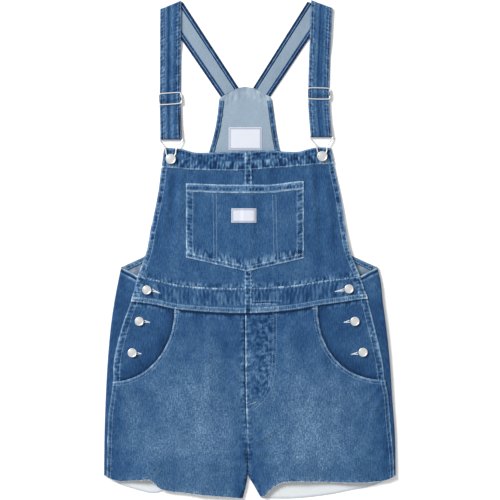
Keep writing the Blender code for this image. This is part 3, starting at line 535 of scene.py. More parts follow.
def patch(bottom, top, left, right, us, vs):
    """A flat grid that fills four edges; bottom and top run left to right, left and right upwards."""
    bottom, top = sample(bottom, us)[None], sample(top, us)[None]
    left, right = sample(left, vs)[:, None], sample(right, vs)[:, None]
    u, v = us[None, :, None], vs[:, None, None]
    low = (1 - u) * bottom[:, :1] + u * bottom[:, -1:]
    high = (1 - u) * top[:, :1] + u * top[:, -1:]
    return (1 - v) * (bottom - low) + v * (top - high) + (1 - u) * left + u * right


def runs_of(plan):
    """For each point, its distance from each side and its place along that side."""
    across, up = np.zeros(plan.shape[:2]), np.zeros(plan.shape[:2])
    across[:, 1:] = np.cumsum(np.linalg.norm(np.diff(plan, axis=1), axis=2), axis=1)
    up[1:] = np.cumsum(np.linalg.norm(np.diff(plan, axis=0), axis=2), axis=0)
    return {
        "left": (across, up),
        "right": (across[:, -1:] - across, up),
        "bottom": (up, across),
        "top": (up[-1:] - up, across),
    }


def upright(curve, low, high):
    y = np.linspace(low, high, 160)
    return np.column_stack([curve(y), y])


def level_line(curve, start, end):
    x = np.linspace(start, end, 240)
    return np.column_stack([x, curve(x)])


def mouth_curve(side, widen=0.0):
    """The pocket mouth from the waistband to the side seam, or a curve that much further in."""
    m = MOUTHS[side]
    reach = abs(m.corner_x - m.start_x) + widen
    start_y = waist_seam("bottom", m.corner_x - SIGN[side] * reach) - SEAM_GAP
    t = np.linspace(0, math.pi / 2, 181)
    x = m.corner_x - SIGN[side] * reach * np.cos(t) ** (2 / m.power)
    y = start_y - (m.depth + widen) * np.sin(t) ** (2 / m.power)
    return np.column_stack([x, y])


def mouth_run(side, x, y):
    """For each point, its true distance from the pocket mouth and its place along it."""
    line = mouth_curve(side)
    away, along = np.full(x.shape, 1e9), np.zeros(x.shape)
    places = np.linspace(0, run_along(line)[-1], 361)
    for (mx, my), at in zip(sample(line, np.linspace(0, 1, 361)), places):
        reach = np.hypot(x - mx, y - my)
        along = np.where(reach < away, at, along)
        away = np.minimum(away, reach)
    return away, along


def beside_mouth(side, distance):
    """The mouth's line, moved on to the leg by a distance."""
    line = sample(mouth_curve(side), np.linspace(0, 1, 120))
    along = np.gradient(line, axis=0)
    along /= np.linalg.norm(along, axis=1)[:, None]
    return line + SIGN[side] * distance * np.column_stack([along[:, 1], -along[:, 0]])


# %% [markdown]
# Puckers beside the seams
#
# Sewn denim shrinks in the wash, but the thread doesn't, so every seam gathers into small knobs.
# The knobs rub pale and the hollows between them stay dark, and this is most of what makes denim
# look like denim. A Band says which side it follows, between which distances the puckers lie,
# how high they are, and how large each one is along and across the seam.

# %% Relief and wear
BAND_FIELDS = "side start end height pitch reach tail begin finish tint"
Band = namedtuple("Band", BAND_FIELDS, defaults=(-1e9, 1e9, 0.75))
Row = namedtuple("Row", "side distance begin shine", defaults=(0, 0.3))
Fold = namedtuple("Fold", "side begin shine", defaults=(0, 0.95))
EDGE_ROUND = 1.5
GROOVE_DEPTH, GROOVE_HALF, GROOVE_RUB_HALF = 0.22, 0.8, 1.3


def ticks(along, pitch, seed, sharp=0.4):
    """Upright dashes along a seam, from -1 to 1, unevenly spaced and of uneven strength."""
    wave = np.sin(2 * math.pi * along / pitch + 2.2 * noise(along, 0 * along, 3 * pitch, 9, seed))
    return np.tanh(wave / sharp) * (0.7 + 0.6 * noise(along, 0 * along, 2.2 * pitch, 9, seed + 1))


def relief_of(runs, thickness, bands, folded, rows, seed):
    """Height added to a piece's outer face, and how rubbed it is there."""
    shape = runs["left"][0].shape
    height, rub_and_painted_light = np.zeros(shape), np.zeros(shape)
    for k, band in enumerate(bands):
        away, along = runs[band.side]
        window = smoothstep(band.start - 1.2, band.start + 0.8, away)
        window = window * smoothstep(band.end + band.tail, band.end, away)
        window = window * smoothstep(band.begin - 4, band.begin + 4, along)
        window = window * smoothstep(band.finish + 4, band.finish - 4, along)
        slip = 2.2 * noise(along, away, 24, 14, seed + k + 2)
        beat = np.sin(2 * math.pi * along / (1.25 * band.pitch) + slip)
        knobs = noise(along + 0.4 * away, away, band.pitch, band.reach, seed + k)
        fine = noise(along - 0.3 * away, away, band.pitch * 0.53, band.reach * 0.6, seed + k + 5)
        knobs = np.tanh(1.5 * (knobs + 0.5 * fine) + 0.7 * beat)
        height += band.height * window * knobs
        rub_and_painted_light += window * band.tint * (knobs + 0.05)
    for side, distance, begin, shine in (Row(*row) for row in rows):
        away, along = runs[side]
        height -= GROOVE_DEPTH * np.exp(-(((away - distance) / GROOVE_HALF) ** 2)) * (along >= begin)
        rub_and_painted_light += shine * np.exp(-(((away - distance) / GROOVE_RUB_HALF) ** 2)) * (along >= begin)
    for side, begin, shine in (Fold(*fold) for fold in folded):
        away, along = runs[side]
        inside = np.clip(1 - away / EDGE_ROUND, 0, 1) * (along >= begin)
        height -= 0.5 * thickness * (1 - np.sqrt(np.clip(1 - inside**2, 0, 1)))
        line = np.exp(-((away / 1.5) ** 2)) * smoothstep(begin - 6, begin, along)
        rub_and_painted_light += shine * line * (0.85 + 0.5 * noise(along, 0 * along, 7, 7, seed + 3))
    return height, rub_and_painted_light


# %% Meshes from grids
def grid_faces(rows, columns):
    """Quads of one grid, and the loop of point numbers round its rim."""
    index = np.arange(rows * columns).reshape(rows, columns)
    quads = np.stack([index[:-1, :-1], index[:-1, 1:], index[1:, 1:], index[1:, :-1]], axis=-1)
    rim = np.concatenate([index[0], index[1:, -1], index[-1, -2::-1], index[-2:0:-1, 0]])
    return quads.reshape(-1, 4), rim


def add_mesh(name, points, quads, materials, slots=None, numbers=None, cloth=None, smooth=50):
    """An object from points in millimetres, with named numbers and a cloth place for each point."""
    a, b, c, d = (points[quads[:, k]] for k in range(4))
    volume = np.einsum("ij,ij->", a, np.cross(b, c)) + np.einsum("ij,ij->", a, np.cross(c, d))
    if volume < 0:
        quads = quads[:, ::-1]
    mesh = bpy.data.meshes.new(name)
    mesh.vertices.add(len(points))
    mesh.vertices.foreach_set("co", (points * MM).astype(np.float32).ravel())
    mesh.loops.add(quads.size)
    mesh.loops.foreach_set("vertex_index", quads.astype(np.int32).ravel())
    mesh.polygons.add(len(quads))
    mesh.polygons.foreach_set("loop_start", np.arange(0, quads.size, 4, dtype=np.int32))
    for material in materials:
        mesh.materials.append(material)
    if slots is not None:
        mesh.polygons.foreach_set("material_index", slots.astype(np.int32))
    mesh.update(calc_edges=True)
    for label, values in (numbers or {}).items():
        attribute = mesh.attributes.new(label, "FLOAT", "POINT")
        attribute.data.foreach_set("value", values.astype(np.float32).ravel())
    if cloth is not None:
        layer = mesh.uv_layers.new(name="cloth")
        layer.data.foreach_set("uv", cloth[quads.ravel()].astype(np.float32).ravel())
    mesh.shade_smooth()
    mesh.set_sharp_from_angle(angle=math.radians(smooth))
    obj = bpy.data.objects.new(name, mesh)
    bpy.context.scene.collection.objects.link(obj)
    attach(obj, "root")
    return obj


def shell(name, outer, inner, rub_and_painted_light, fade_and_painted_shade, cloth, under_fade_and_painted_shade, finishes=None, pale_rim=False, middle=None):
    """A closed cloth wall. finishes are the face up, the face under and, in some columns, the middle."""
    rows, columns = outer.shape[:2]
    count = rows * columns
    quads, rim = grid_faces(rows, columns)
    ahead = np.roll(rim, -1)
    wall = np.stack([ahead, rim, rim + count, ahead + count], axis=-1)
    up = np.zeros(len(quads)) if middle is None else np.tile(np.where(middle, 2, 0), rows - 1)
    slots = np.concatenate([up, np.ones(len(quads)), np.full(len(wall), int(pale_rim))])
    full = lambda values: np.broadcast_to(values, (rows, columns)).ravel()
    numbers = {
        "rub_and_painted_light": np.concatenate([full(rub_and_painted_light), full(rub_and_painted_light) * 0.4]),
        "fade_and_painted_shade": np.concatenate([full(fade_and_painted_shade), full(under_fade_and_painted_shade)]),
    }
    points = np.concatenate([outer.reshape(-1, 3), inner.reshape(-1, 3)])
    faces = np.concatenate([quads, quads[:, ::-1] + count, wall])
    place = np.tile(cloth.reshape(-1, 2), (2, 1))
    return add_mesh(name, points, faces, finishes or [DENIM, INSIDE], slots, numbers, place)


# %% [markdown]
# Fading
#
# The dye has washed out most where the cloth rubs: down the middle of each thigh. It stays deep
# at the side seams and towards the waistband. Inside the pocket mouths and right under the
# waistband the cloth is darkened with painted shade. One function gives the faded tone for the
# whole front.

# %% Fading of the front
def streaks(x, y):
    """Long upright stripes, where thicker threads kept more or less dye."""
    return 0.040 * noise(x, y, 8, 90, 7) + 0.035 * noise(x, y, 19, 120, 8)


def thigh_fade_and_painted_crease_shade(x, y):
    centre = np.where(x < CENTRE_X, -112, 104)
    away = ((x - centre) / 92) ** 2 + ((y + 325) / 118) ** 2
    pale = 0.19 * np.exp(-away)
    sides = 0.035 * smoothstep(205, 255, np.abs(x)) + 0.05 * smoothstep(-240, -150, y)
    sides = sides + 0.02 * smoothstep(190, 250, x)
    cloud = 0.045 * noise(x, y, 34, 46, 6) + 0.035 * noise(x, y, 14, 22, 10)
    # The small creases are lighter on their ridges, where they rub, and darker in their hollows with painted
    # shade.
    crease_wear_and_painted_shade = 0.04 * small_creases(x, y)
    return 0.39 + pale - sides + cloud + crease_wear_and_painted_shade + 0.5 * streaks(x, y)


def bib_fade_and_painted_crease_shade(x, y):
    # Besides the fading, the small creases make the bib lighter on their ridges, where they rub, and darker in
    # their hollows with painted shade.
    return 0.345 + 0.05 * smoothstep(30, -50, y) + streaks(x, y) + 0.04 * small_creases(x, y)


Cloth = namedtuple("Cloth", "obj face runs rests_on")
LEAST_SIDE = 0.0105  # metres, the smallest width or length that declare_cut works out


def cut(name, plan, under, thickness, fade_and_painted_shade, bands=(), folded=(), rows=(), seed=0, extra=0.0):
    """One pattern piece that lies over a flat grid. It replaces the node of the same name."""
    x, y = plan[..., 0], plan[..., 1]
    runs = runs_of(plan)
    height, rub_and_painted_light = relief_of(runs, thickness, bands, folded, rows, seed)
    low = under(x, y)
    outer = np.dstack([x, y, low + thickness + height + extra])
    inner = np.dstack([x, y, low + 0 * x])
    tone = fade_and_painted_shade(x, y) if callable(fade_and_painted_shade) else fade_and_painted_shade
    obj = shell(name, outer, inner, rub_and_painted_light, tone, plan, 0.5)
    return finish_piece(obj, name, outer, runs)


def finish_piece(obj, name, face, runs, rests_on="cloth_leg_back_left"):
    """Says which node a piece stands for, and keeps what the stitches need."""
    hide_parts(name)
    obj.name = "cloth_" + name
    return Cloth(obj, face, runs, rests_on)


def declare_cut(piece):
    """Works out the flat size of a cut piece along its own rows and columns; nothing uses the result."""
    face = piece.face
    across, up = face[1:, 1:] - face[:-1, :-1], face[1:, :-1] - face[:-1, 1:]
    area = 0.5 * np.linalg.norm(np.cross(across, up), axis=2).sum() * MM * MM
    width = max(length_of(row) for row in face[:: max(1, len(face) // 8)]) * MM
    length = max(length_of(face[:, c]) for c in range(0, face.shape[1], max(1, face.shape[1] // 8))) * MM
    width = max(width, LEAST_SIDE)
    length = max(length, LEAST_SIDE, area / width)


print("helpers are ready")

# %% [markdown]
# The back of the shorts
#
# The back halves lie face down, so what we see of them is their inner face past the raw hems and
# at the hips, and a narrow strip of their blue face where they wrap round on to the front. Each
# is one grid: flat, then half a turn round the side fold, then the wrap under the buttoned edge.

# %% Back halves
BACK_LENGTH = 430.0


def back_steps():
    """Places across a back half: on the flat part, round the turn and on the wrap."""
    steps = [(f, 0, 0) for f in np.linspace(0, 1, 46)]
    steps += [(1, t, 0) for t in np.linspace(0, 1, 10)[1:]]
    return steps + [(1, 1, w) for w in stations(26, 2.4, low=False)[1:]]


def back_column(side, on_flat, on_turn, on_wrap, rows):
    """One column of a back half, outer and inner face, from hem to top."""
    rough_x = min(max(abs(CENTRE_X) + 266 * on_flat, 14), 270)
    hem_y = float(read_table(HEMS[side], "x", "back", SIGN[side] * rough_x)) - 4.0 * on_wrap
    top_y = BACK_SEAM_Y - 17.5 * max(abs(CENTRE_X) + 230 * on_flat - 195, 0) / 38
    if on_turn:
        top_y = -30.5 - 3.5 * on_turn - 29 * on_wrap
    y = hem_y + (top_y - hem_y) * rows
    fold = np.abs(read_table(SIDE_FOLD, "y", side, y))
    crest = (base(SIGN[side] * (fold - 4), y) - SEAM_GAP) / 2
    flat_end = fold - crest
    start = SIGN[side] * inner_edge(side, y)
    if not on_turn:
        x = start + (flat_end - start) * on_flat
        out, inn = (x, 0 * y), (x, 0 * y + CLOTH)
    elif not on_wrap:
        a = (on_turn - 0.5) * math.pi
        out, inn = [(flat_end + r * math.cos(a), crest + r * math.sin(a)) for r in (crest, crest - CLOTH)]
    else:
        lap = SIDE_SEAM_LAP + (BUTTON_STAND - SIDE_SEAM_LAP) * smoothstep(-272, -248, y)
        x = flat_end + (np.abs(front_edge(side, y)) - lap - flat_end) * on_wrap
        top = base(SIGN[side] * x, y) - SEAM_GAP
        out, inn = (x, top), (x, top - CLOTH)
    return [np.column_stack([SIGN[side] * x, y, z]) for x, z in (out, inn)]


CUTS = []


def add_cuts(title, pieces):
    """Keeps finished pieces of cloth and prints how many faces each one has."""
    CUTS.extend(pieces)
    print(title, [len(c.obj.data.polygons) for c in pieces], "faces")


def leg_back(side):
    """A back half. Its rows are closer at the top, where the edge has narrow lines."""
    close = 1 - np.array([2.7, 3.6, 4.5, 5.4, 6.4, 7.4, 8.6, 10]) / BACK_LENGTH
    rows = np.unique(np.concatenate([stations(BACK_LENGTH, 4.6, low=False), close]))
    columns = [back_column(side, *step, rows) for step in back_steps()]
    outer = np.stack([c[0] for c in columns], axis=1)
    inner = np.stack([c[1] for c in columns], axis=1)
    runs = runs_of(outer)
    bands = [Band("top", 0, 9, 0.25, 6, 8, 3), Band("right", 0, 8, 0.2, 6, 8, 3)]
    height, rub_and_painted_light = relief_of(runs, CLOTH, bands, [("right", 0)], [], 3)
    wrapped = smoothstep(6, 9, outer[..., 2])
    outer[..., 2] += np.minimum(height, 0) * wrapped
    x, y, top = outer[..., 0], outer[..., 1], runs["top"][0]
    blotch = 0.20 * noise(x, y, 7, 5, 5) * smoothstep(-150, -100, y)
    pale = 0.42 + 0.6 * smoothstep(-380, -425, y) - 0.17 * smoothstep(-150, -100, y) + blotch
    # Painted shadow: a dark line along the bottom edge of the pale back hem.
    pale = pale - 0.3 * np.exp(-((runs["bottom"][0] / 1.6) ** 2))
    hip = smoothstep(-120, -60, y)
    lift = smoothstep(2.5, 5, outer[..., 2])
    uneven = 1 + 0.5 * noise(x, y, 5, 5, 12)
    line = 1.3 * np.exp(-((top / 2.8) ** 2)) - 0.6 * uneven * np.exp(-(((top - 6) / 1.8) ** 2))
    line = line + 0.8 * uneven * np.exp(-(((top - 9) / 1.6) ** 2))
    cloth = np.dstack([runs["left"][0], outer[..., 1]])
    tone = 0.3 + 0.14 * wrapped * hip
    rub_and_painted_light = rub_and_painted_light * (0.4 + 0.6 * wrapped) + 1.2 * line * lift
    obj = shell("leg_back_" + side, outer, inner, rub_and_painted_light, tone, cloth, pale)
    return finish_piece(obj, "leg_back_" + side, outer, runs, rests_on="floor")


add_cuts("back halves:", [leg_back(half) for half in SIDES])

# %% [markdown]
# The front of the shorts
#
# Each front half has a curved edge for the hand pocket, a raw cut hem, and an inner edge that
# rolls under below the crotch. The mouth of the pocket is turned in and sewn twice, so it has a
# rubbed line, two grooves and puckers between them. The centre front is a mock fly: the right
# half's edge is folded and lies a little proud of the left one.

# %% Front halves
ROLL_STEPS = 6


def rolled_edge(side, plan, under):
    """The columns before the first one, for the outer and the inner face."""
    sign, y = SIGN[side], plan[:, :1, 1]
    turn = np.arange(ROLL_STEPS)[None] / ROLL_STEPS * math.pi / 2
    edge_x, end_x = leg_inner(side, y), plan[:, :1, 0]
    flat_x = edge_x + (end_x - edge_x) * turn / (math.pi / 2)
    flat_z = leg_under(flat_x, y)
    curl = smoothstep(ROLL_START, ROLL_END, y)
    rise = under[:, :1] + CLOTH - LAYER
    rolls = []
    for reach, height, lift in ((INSEAM_ROLL, rise, CLOTH), (INSEAM_ROLL - CLOTH, rise - CLOTH, 0)):
        round_x = end_x - sign * reach * np.cos(turn)
        round_z = LAYER + height * np.sin(turn)
        x = flat_x + curl * (round_x - flat_x)
        z = flat_z + lift + curl * (round_z - flat_z - lift)
        rolls.append(np.dstack(np.broadcast_arrays(x, y, z)))
    return rolls


def leg_plan(side):
    """The flat grid of a front half, and how long its waist seam is."""
    hem = lambda x: read_table(HEMS[side], "x", "front", x)
    seam = lambda x: waist_seam("bottom", x) - SEAM_GAP
    flat_inner = lambda y: leg_inner(side, y) + SIGN[side] * INSEAM_ROLL
    waist = level_line(seam, float(flat_inner(-117)), MOUTHS[side].start_x)
    mouth = mouth_curve(side)
    top = np.concatenate([waist, mouth[1:]])
    bottom = level_line(hem, float(flat_inner(-460)), float(front_edge(side, -420)))
    inner = upright(flat_inner, bottom[0, 1], top[0, 1])
    outer = upright(lambda y: front_edge(side, y), bottom[-1, 1], top[-1, 1])
    outer[-1] = top[-1]
    share = length_of(waist) / length_of(top)
    near, far = stations(130, 2.6, high=False, low=False), stations(175, 2.6, low=False)
    us = np.concatenate([share * near, share + (1 - share) * far[1:]])
    return patch(bottom, top, inner, outer, us, stations(330, 2.5, low=False)), length_of(waist)


FLY = [(49, -117), (49, -150), (48.5, -190), (46, -228), (38, -260), (23, -282), (3, -298)]


def fly_zone(x, y):
    """1 between the centre front and the curved row of the mock fly, 0 elsewhere."""
    edge = np.interp(-y, [-p[1] for p in FLY], [p[0] for p in FLY])
    return smoothstep(-2, 6, edge - x) * smoothstep(-8, 0, x) * smoothstep(-300, -292, y)


def leg_shade(x, y, runs):
    """Places on a front half that kept or lost their dye: the crotch, the hem and the side seam."""
    crotch = -0.10 * np.exp(-(((x - CENTRE_X) / 34) ** 2) - ((y + 395) / 60) ** 2)
    hem = 0.06 * smoothstep(14, 3, runs["bottom"][0])
    seam = -0.05 * smoothstep(40, 10, runs["right"][0])
    return crotch + hem + seam


def leg_front(side):
    name = "leg_front_" + side
    plan, waist = leg_plan(side)
    under = leg_under(plan[..., 0], plan[..., 1])
    upper = np.dstack([plan, under + CLOTH])
    lower = np.dstack([plan, under])
    rolls = rolled_edge(side, plan, under)
    outer = np.concatenate([rolls[0], upper], axis=1)
    inner = np.concatenate([rolls[1], lower], axis=1)
    x, y = outer[..., 0], outer[..., 1]
    runs = runs_of(outer)
    runs["mouth"] = mouth_run(side, x, y)
    bands = [
        Band("mouth", 1.5, 7, 0.4, 5, 4.5, 3, tint=0.35),
        Band("top", 2, 8, 0.35, 4.6, 6, 8, 0, waist, 0.35),
        Band("top", 0, 4, 0.3, 6, 6, 8, 0, waist + 8, 0.2),
        Band("right", 1, 9, 0.45, 6.5, 7, 5, tint=0.3),
        Band("left", 0, 7, 0.25, 6, 6, 5, tint=0.45),
        Band("bottom", 0, 2, 0.3, 9, 8, 4, tint=0.3),
    ]
    rows = [("mouth", 2.4, 0, 0.1), ("mouth", 7, 0, 0.05), ("right", 2), ("right", 8, 0, 0.0)]
    height, rub_and_painted_light = relief_of(runs, CLOTH, bands, [("mouth", 0, 1.1), ("right", 0), ("left", 0)], rows, 20)
    away = runs["left"][0]
    fly = smoothstep(-345, -300, y)
    height += fly * np.exp(-((away / 9) ** 2)) * (0.5 if side == "right" else -0.5)
    # On the left half this paints a dark shadow beside the lapped centre edge; on the right half it gives the
    # folded edge a pale line.
    rub_and_painted_light += fly * np.exp(-((away / 2) ** 2)) * (0.5 if side == "right" else -1.6)
    zone = fly_zone(x, y)
    crinkle = np.tanh(1.8 * noise(x, y + 0.3 * x, 5.6, 3.4, 4) + 1.4 * noise(x, y, 3.0, 3.0, 9))
    strong = 0.6 + 0.5 * smoothstep(8, 20, x)
    height += 0.25 * zone * strong * crinkle
    rub_and_painted_light += 0.5 * zone * strong * (crinkle - 0.14)
    # Painted shadow: a dark line along the waist seam, just under the waistband.
    rub_and_painted_light -= 1.9 * np.exp(-((runs["top"][0] / 3.0) ** 2)) * smoothstep(waist + 2, waist - 6, runs["top"][1])
    outer[..., 2] += height
    tone = thigh_fade_and_painted_crease_shade(x, y) + leg_shade(x, y, runs)
    obj = shell(name, outer, inner, rub_and_painted_light, tone, np.dstack([x, y]), 0.75, pale_rim=True)
    return finish_piece(obj, name, outer, runs)


add_cuts("front halves:", [leg_front(half) for half in SIDES])

# %% [markdown]
# Panels inside the pocket mouths
#
# The cloth that shows inside each pocket mouth is the side panel. It runs under the leg front
# and ends in the buttoned edge. Beside the mouth and under the waistband it is darkened with
# painted shade.

# %% Side panels
def side_panel(side):
    sign = SIGN[side]
    rim = mouth_curve(side, POCKET_FACING)
    split = int(len(rim) * 0.62)
    low_corner = (MOUTHS[side].corner_x - sign * 0.3, rim[-1, 1])
    bottom = np.concatenate([rim[split:-1], [low_corner]])
    inner = rim[: split + 1][::-1]
    top = level_line(lambda x: waist_seam("bottom", x) - SEAM_GAP, inner[-1, 0], float(front_edge(side, -97)))
    outer = upright(lambda y: front_edge(side, y), low_corner[1], top[-1, 1])
    outer[0], outer[-1] = low_corner, top[-1]
    plan = patch(bottom, top, inner, outer, stations(110, 2.3, low=False), stations(150, 2.4, low=False))
    bands = [
        Band("right", 1.5, 12, 0.5, 6, 6, 4, tint=0.6),
        Band("top", 2, 7, 0.35, 5, 6, 6, tint=0.5),
    ]
    runs = runs_of(plan)
    near = POCKET_FACING + mouth_run(side, plan[..., 0], plan[..., 1])[0]
    # Painted shade: darker inside the pocket mouth and darkest right at it, with a painted shadow just under
    # the waistband; the buttoned edge is lighter with wear.
    shade = -0.11 * smoothstep(46, 12, near) - 0.32 * smoothstep(4.2, 0.8, runs["top"][0])
    shade = shade + 0.05 * smoothstep(15, 9, runs["right"][0]) - 0.20 * smoothstep(20, 13, near)
    tone = lambda x, y: 0.345 + shade + 0.04 * noise(x, y, 26, 40, 9)
    rows = [("right", 2), ("right", 12, 0, 0.2)]
    return cut("side_panel_" + side, plan, base, CLOTH, tone, bands, [("right", 0)], rows, seed=40)


add_cuts("side panels:", [side_panel(half) for half in SIDES])

# %% [markdown]
# Waistband
#
# The waistband is a folded strip, sewn along its top and bottom. It carries the strongest
# puckers on the garment, because three rows of thread run along it. Its lower half has a small
# raised tab at the centre front, as on a mock fly.

# %% Waistband
TAB_LEFT, TAB_RIGHT, TAB_TOP = 3.0, 55.0, -97.5


def tab_height(x, y):
    """1 on the raised tab at the centre front, 0 off it, with a rounded upper right corner."""
    right = TAB_RIGHT - 8 * smoothstep(TAB_TOP - 9, TAB_TOP, y) ** 2
    across = smoothstep(TAB_LEFT - 2, TAB_LEFT, x) * smoothstep(right + 1.2, right - 0.8, x)
    return across * smoothstep(TAB_TOP + 1, TAB_TOP - 1, y)


def waistband_tone(plan, tab):
    """Dark hanging dashes under the top seam, a worn strip between the lower rows, pale ends, and a line of
    painted shade along the top of the raised tab.
    """
    runs, x, y = runs_of(plan), plan[..., 0], plan[..., 1]
    (top, along), low, end = runs["top"], runs["bottom"][0], runs["right"][0]
    hang = np.exp(-(((top - 7.0) / 4.4) ** 4)) * ticks(along, 7.5, 61) * smoothstep(-150, -60, x)
    strip = np.exp(-(((low - 5.4) / 4.8) ** 6))
    mottle = 0.7 + 0.6 * noise(x, y, 4.5, 5, 62)
    worn = strip * (0.11 + 0.12 * ticks(along, 3.6, 63))
    worn = worn + 0.30 * mottle * smoothstep(20, 3, end) * smoothstep(22, 6, low)
    # Painted shade: a dark line along the top edge of the raised tab.
    tab_top_painted_shade = (x > TAB_LEFT) * (x < TAB_RIGHT - 4) * np.exp(-(((y - TAB_TOP - 0.8) / 1.4) ** 2))
    body = 0.375 - 0.03 * smoothstep(-40, 40, x) + 0.05 * noise(x - 0.5 * y, y, 13, 40, 10)
    return body + 0.12 * hang + worn + 0.13 * tab - 0.30 * tab_top_painted_shade


def waistband(side):
    centre = float(inner_edge(side, -90))
    end_low, end_high = float(front_edge(side, -95)), float(front_edge(side, -47))
    bottom = level_line(lambda x: waist_seam("bottom", x), centre, end_low)
    top = level_line(lambda x: waist_seam("top", x), centre, end_high)
    us, vs = stations(210, 1.5, low=False), stations(46, 1.5)
    plan = patch(bottom, top, [bottom[0], top[0]], [bottom[-1], top[-1]], us, vs)
    bands = [
        Band("top", 0, 3.5, 0.5, 4.2, 4, 1.5, tint=0.9),
        Band("top", 9, 30, 0.6, 6, 20, 6, tint=0.45),
        Band("bottom", 0.5, 9, 0.35, 3.4, 8, 2, tint=0.3),
        Band("right", 1, 12, 0.5, 5, 6, 4, tint=0.6),
    ]
    rows = [("top", 2.2, 0, 0.15), ("bottom", 2.2), ("bottom", 9), ("right", 2.2, 0, 0.2)]
    tab = tab_height(plan[..., 0], plan[..., 1])
    # The pale line on the folded bottom edge is partly rubbed wear and partly a painted highlight.
    folded = [("top", 0, 0.7), ("bottom", 0, 0.5), ("right", 0)]
    tone = waistband_tone(plan, tab)
    return cut("waistband_" + side, plan, base, WAISTBAND, tone, bands, folded, rows, seed=60, extra=0.6 * tab)


add_cuts("waistband:", [waistband(half) for half in SIDES])

# %% [markdown]
# Bib
#
# The bib is two panels sewn up the middle. Its outer edges are turned in 10 mm, and the turned
# part has shrunk into slanting ropes. A double band closes the top and carries the two buttons.

# %% Bib panels, band and centre strip
def bib_half(side):
    centre = float(inner_edge(side, 0))
    bottom = level_line(lambda x: waist_seam("top", x) + SEAM_GAP, centre, float(front_edge(side, -47)))
    seam = lambda x: read_table(BIB_TOP, "x", "seam", x) - SEAM_GAP
    top = level_line(seam, centre, float(front_edge(side, 155)))
    right = upright(lambda y: front_edge(side, y), bottom[-1, 1], top[-1, 1])
    right[0], right[-1] = bottom[-1], top[-1]
    plan = patch(bottom, top, [bottom[0], top[0]], right, stations(180, 2.4, low=False), stations(215, 2.5))
    bands = [
        Band("right", 1.2, 9, 0.5, 5.5, 5, 2.5, tint=0.7),
        Band("bottom", 0, 5, 0.4, 6, 7, 7, tint=0.6),
        Band("left", 0, 9, 0.25, 8, 8, 4, tint=0.3),
    ]
    rows = [("right", 2.2), ("right", 9.5, 0, 0.15)]
    runs = runs_of(plan)
    hem = 0.09 * smoothstep(12, 8, runs["right"][0]) * smoothstep(110, 10, plan[..., 1])
    rising = 0.11 * ticks(runs["bottom"][1], 6.5, 83) * smoothstep(9, 1, runs["bottom"][0])
    tone = bib_fade_and_painted_crease_shade(plan[..., 0], plan[..., 1]) + hem + rising
    return cut("bib_" + side, plan, bib_under, CLOTH, tone, bands, [("right", 0)], rows, seed=80)


def bib_band(side):
    centre = float(inner_edge(side, 160))
    lower, upper = [lambda x, column=c: read_table(BIB_TOP, "x", column, x) for c in ("seam", "top")]
    bottom = level_line(lower, centre, float(front_edge(side, 156)))
    top = level_line(upper, centre, float(front_edge(side, 189)))
    us, vs = stations(155, 1.9, low=False), stations(33, 1.7)
    plan = patch(bottom, top, [bottom[0], top[0]], [bottom[-1], top[-1]], us, vs)
    away, along = runs_of(plan)["top"]
    bands = [
        Band("top", 3, 13, 0.4, 4.6, 3.4, 3, tint=0.7),
        Band("bottom", 1, 16, 0.6, 4.4, 11, 3, tint=0.9),
        Band("right", 1, 9, 0.4, 7, 7, 4, tint=0.4),
    ]
    rows = [("top", 2.2), ("bottom", 2.2), ("right", 2.2)]
    under_top = np.exp(-(((away - 6) / 2) ** 4)) * (0.5 - 0.5 * ticks(along, 5.2, 103))
    tone = lambda x, y: 0.35 - 0.17 * under_top + 0.04 * noise(x, y, 24, 20, 11)
    folded = [("top", 0), ("bottom", 0), ("right", 0)]
    return cut("bib_band_" + side, plan, base, BAND, tone, bands, folded, rows, seed=100)


def strip_under(x, y):
    """The centre strip lies on the bib, its band and the waistband in turn."""
    bib = BIB_SEAT + CLOTH
    on_band = smoothstep(142, 146, y)
    on_waist = smoothstep(-66, -70, y)
    seat = bib + (BAND - bib) * on_band + (WAISTBAND - bib) * on_waist
    return base(x, y) + seat + SEAM_GAP


def centre_strip():
    heights = np.linspace(STRIP_END_Y, STRIP_TOP_Y, 165)
    across = (stations(STRIP_WIDTH, 1.4) - 0.5) * STRIP_WIDTH - 3.0
    plan = np.dstack(np.meshgrid(across, heights))
    bands = [Band("left", 0.5, 13, 0.55, 6, 5, 2)]
    rows = [("left", 2), ("right", 2)]
    folded = [("left", 0), ("right", 0)]
    return cut("centre_seam_strip", plan, strip_under, CLOTH, 0.34, bands, folded, rows, seed=120)


add_cuts("bib:", [make(half) for half in SIDES for make in (bib_half, bib_band)])
add_cuts("centre strip:", [centre_strip()])

# %% [markdown]
# Chest pocket
#
# A wide pocket with a pointed bottom is sewn on by two rows round its sides, with two more pairs
# of rows up its face. The cloth under the thread has shrunk most along the bottom.

# %% Bib pocket
POCKET_LEFT, POCKET_RIGHT = -118.0, 100.0


def opening_y(x):
    return 120.5 + 6.5 * smoothstep(30, 100, x) + 2.5 * smoothstep(-40, -118, x)


def pocket_under(x, y):
    """Underside of the bib pocket, which bulges over the centre strip and in its middle."""
    over_strip = LAYER * smoothstep(16, 7.5, np.abs(x + 3))
    pouch = POCKET_POUCH * np.clip(1 - ((x + 9) / 112) ** 2, 0, 1) * np.clip(1 - ((y - 45) / 75) ** 2, 0, 1)
    return bib_under(x, y) + CLOTH + SEAM_GAP + over_strip + pouch


def pocket_grid(low, high, length, step):
    """A grid between two edges that are heights of x."""
    x = POCKET_LEFT + (POCKET_RIGHT - POCKET_LEFT) * stations(218, 2.3)
    rows = stations(length, step)[:, None]
    return np.dstack([np.broadcast_to(x, (len(rows), len(x))), low(x) + (high(x) - low(x)) * rows])


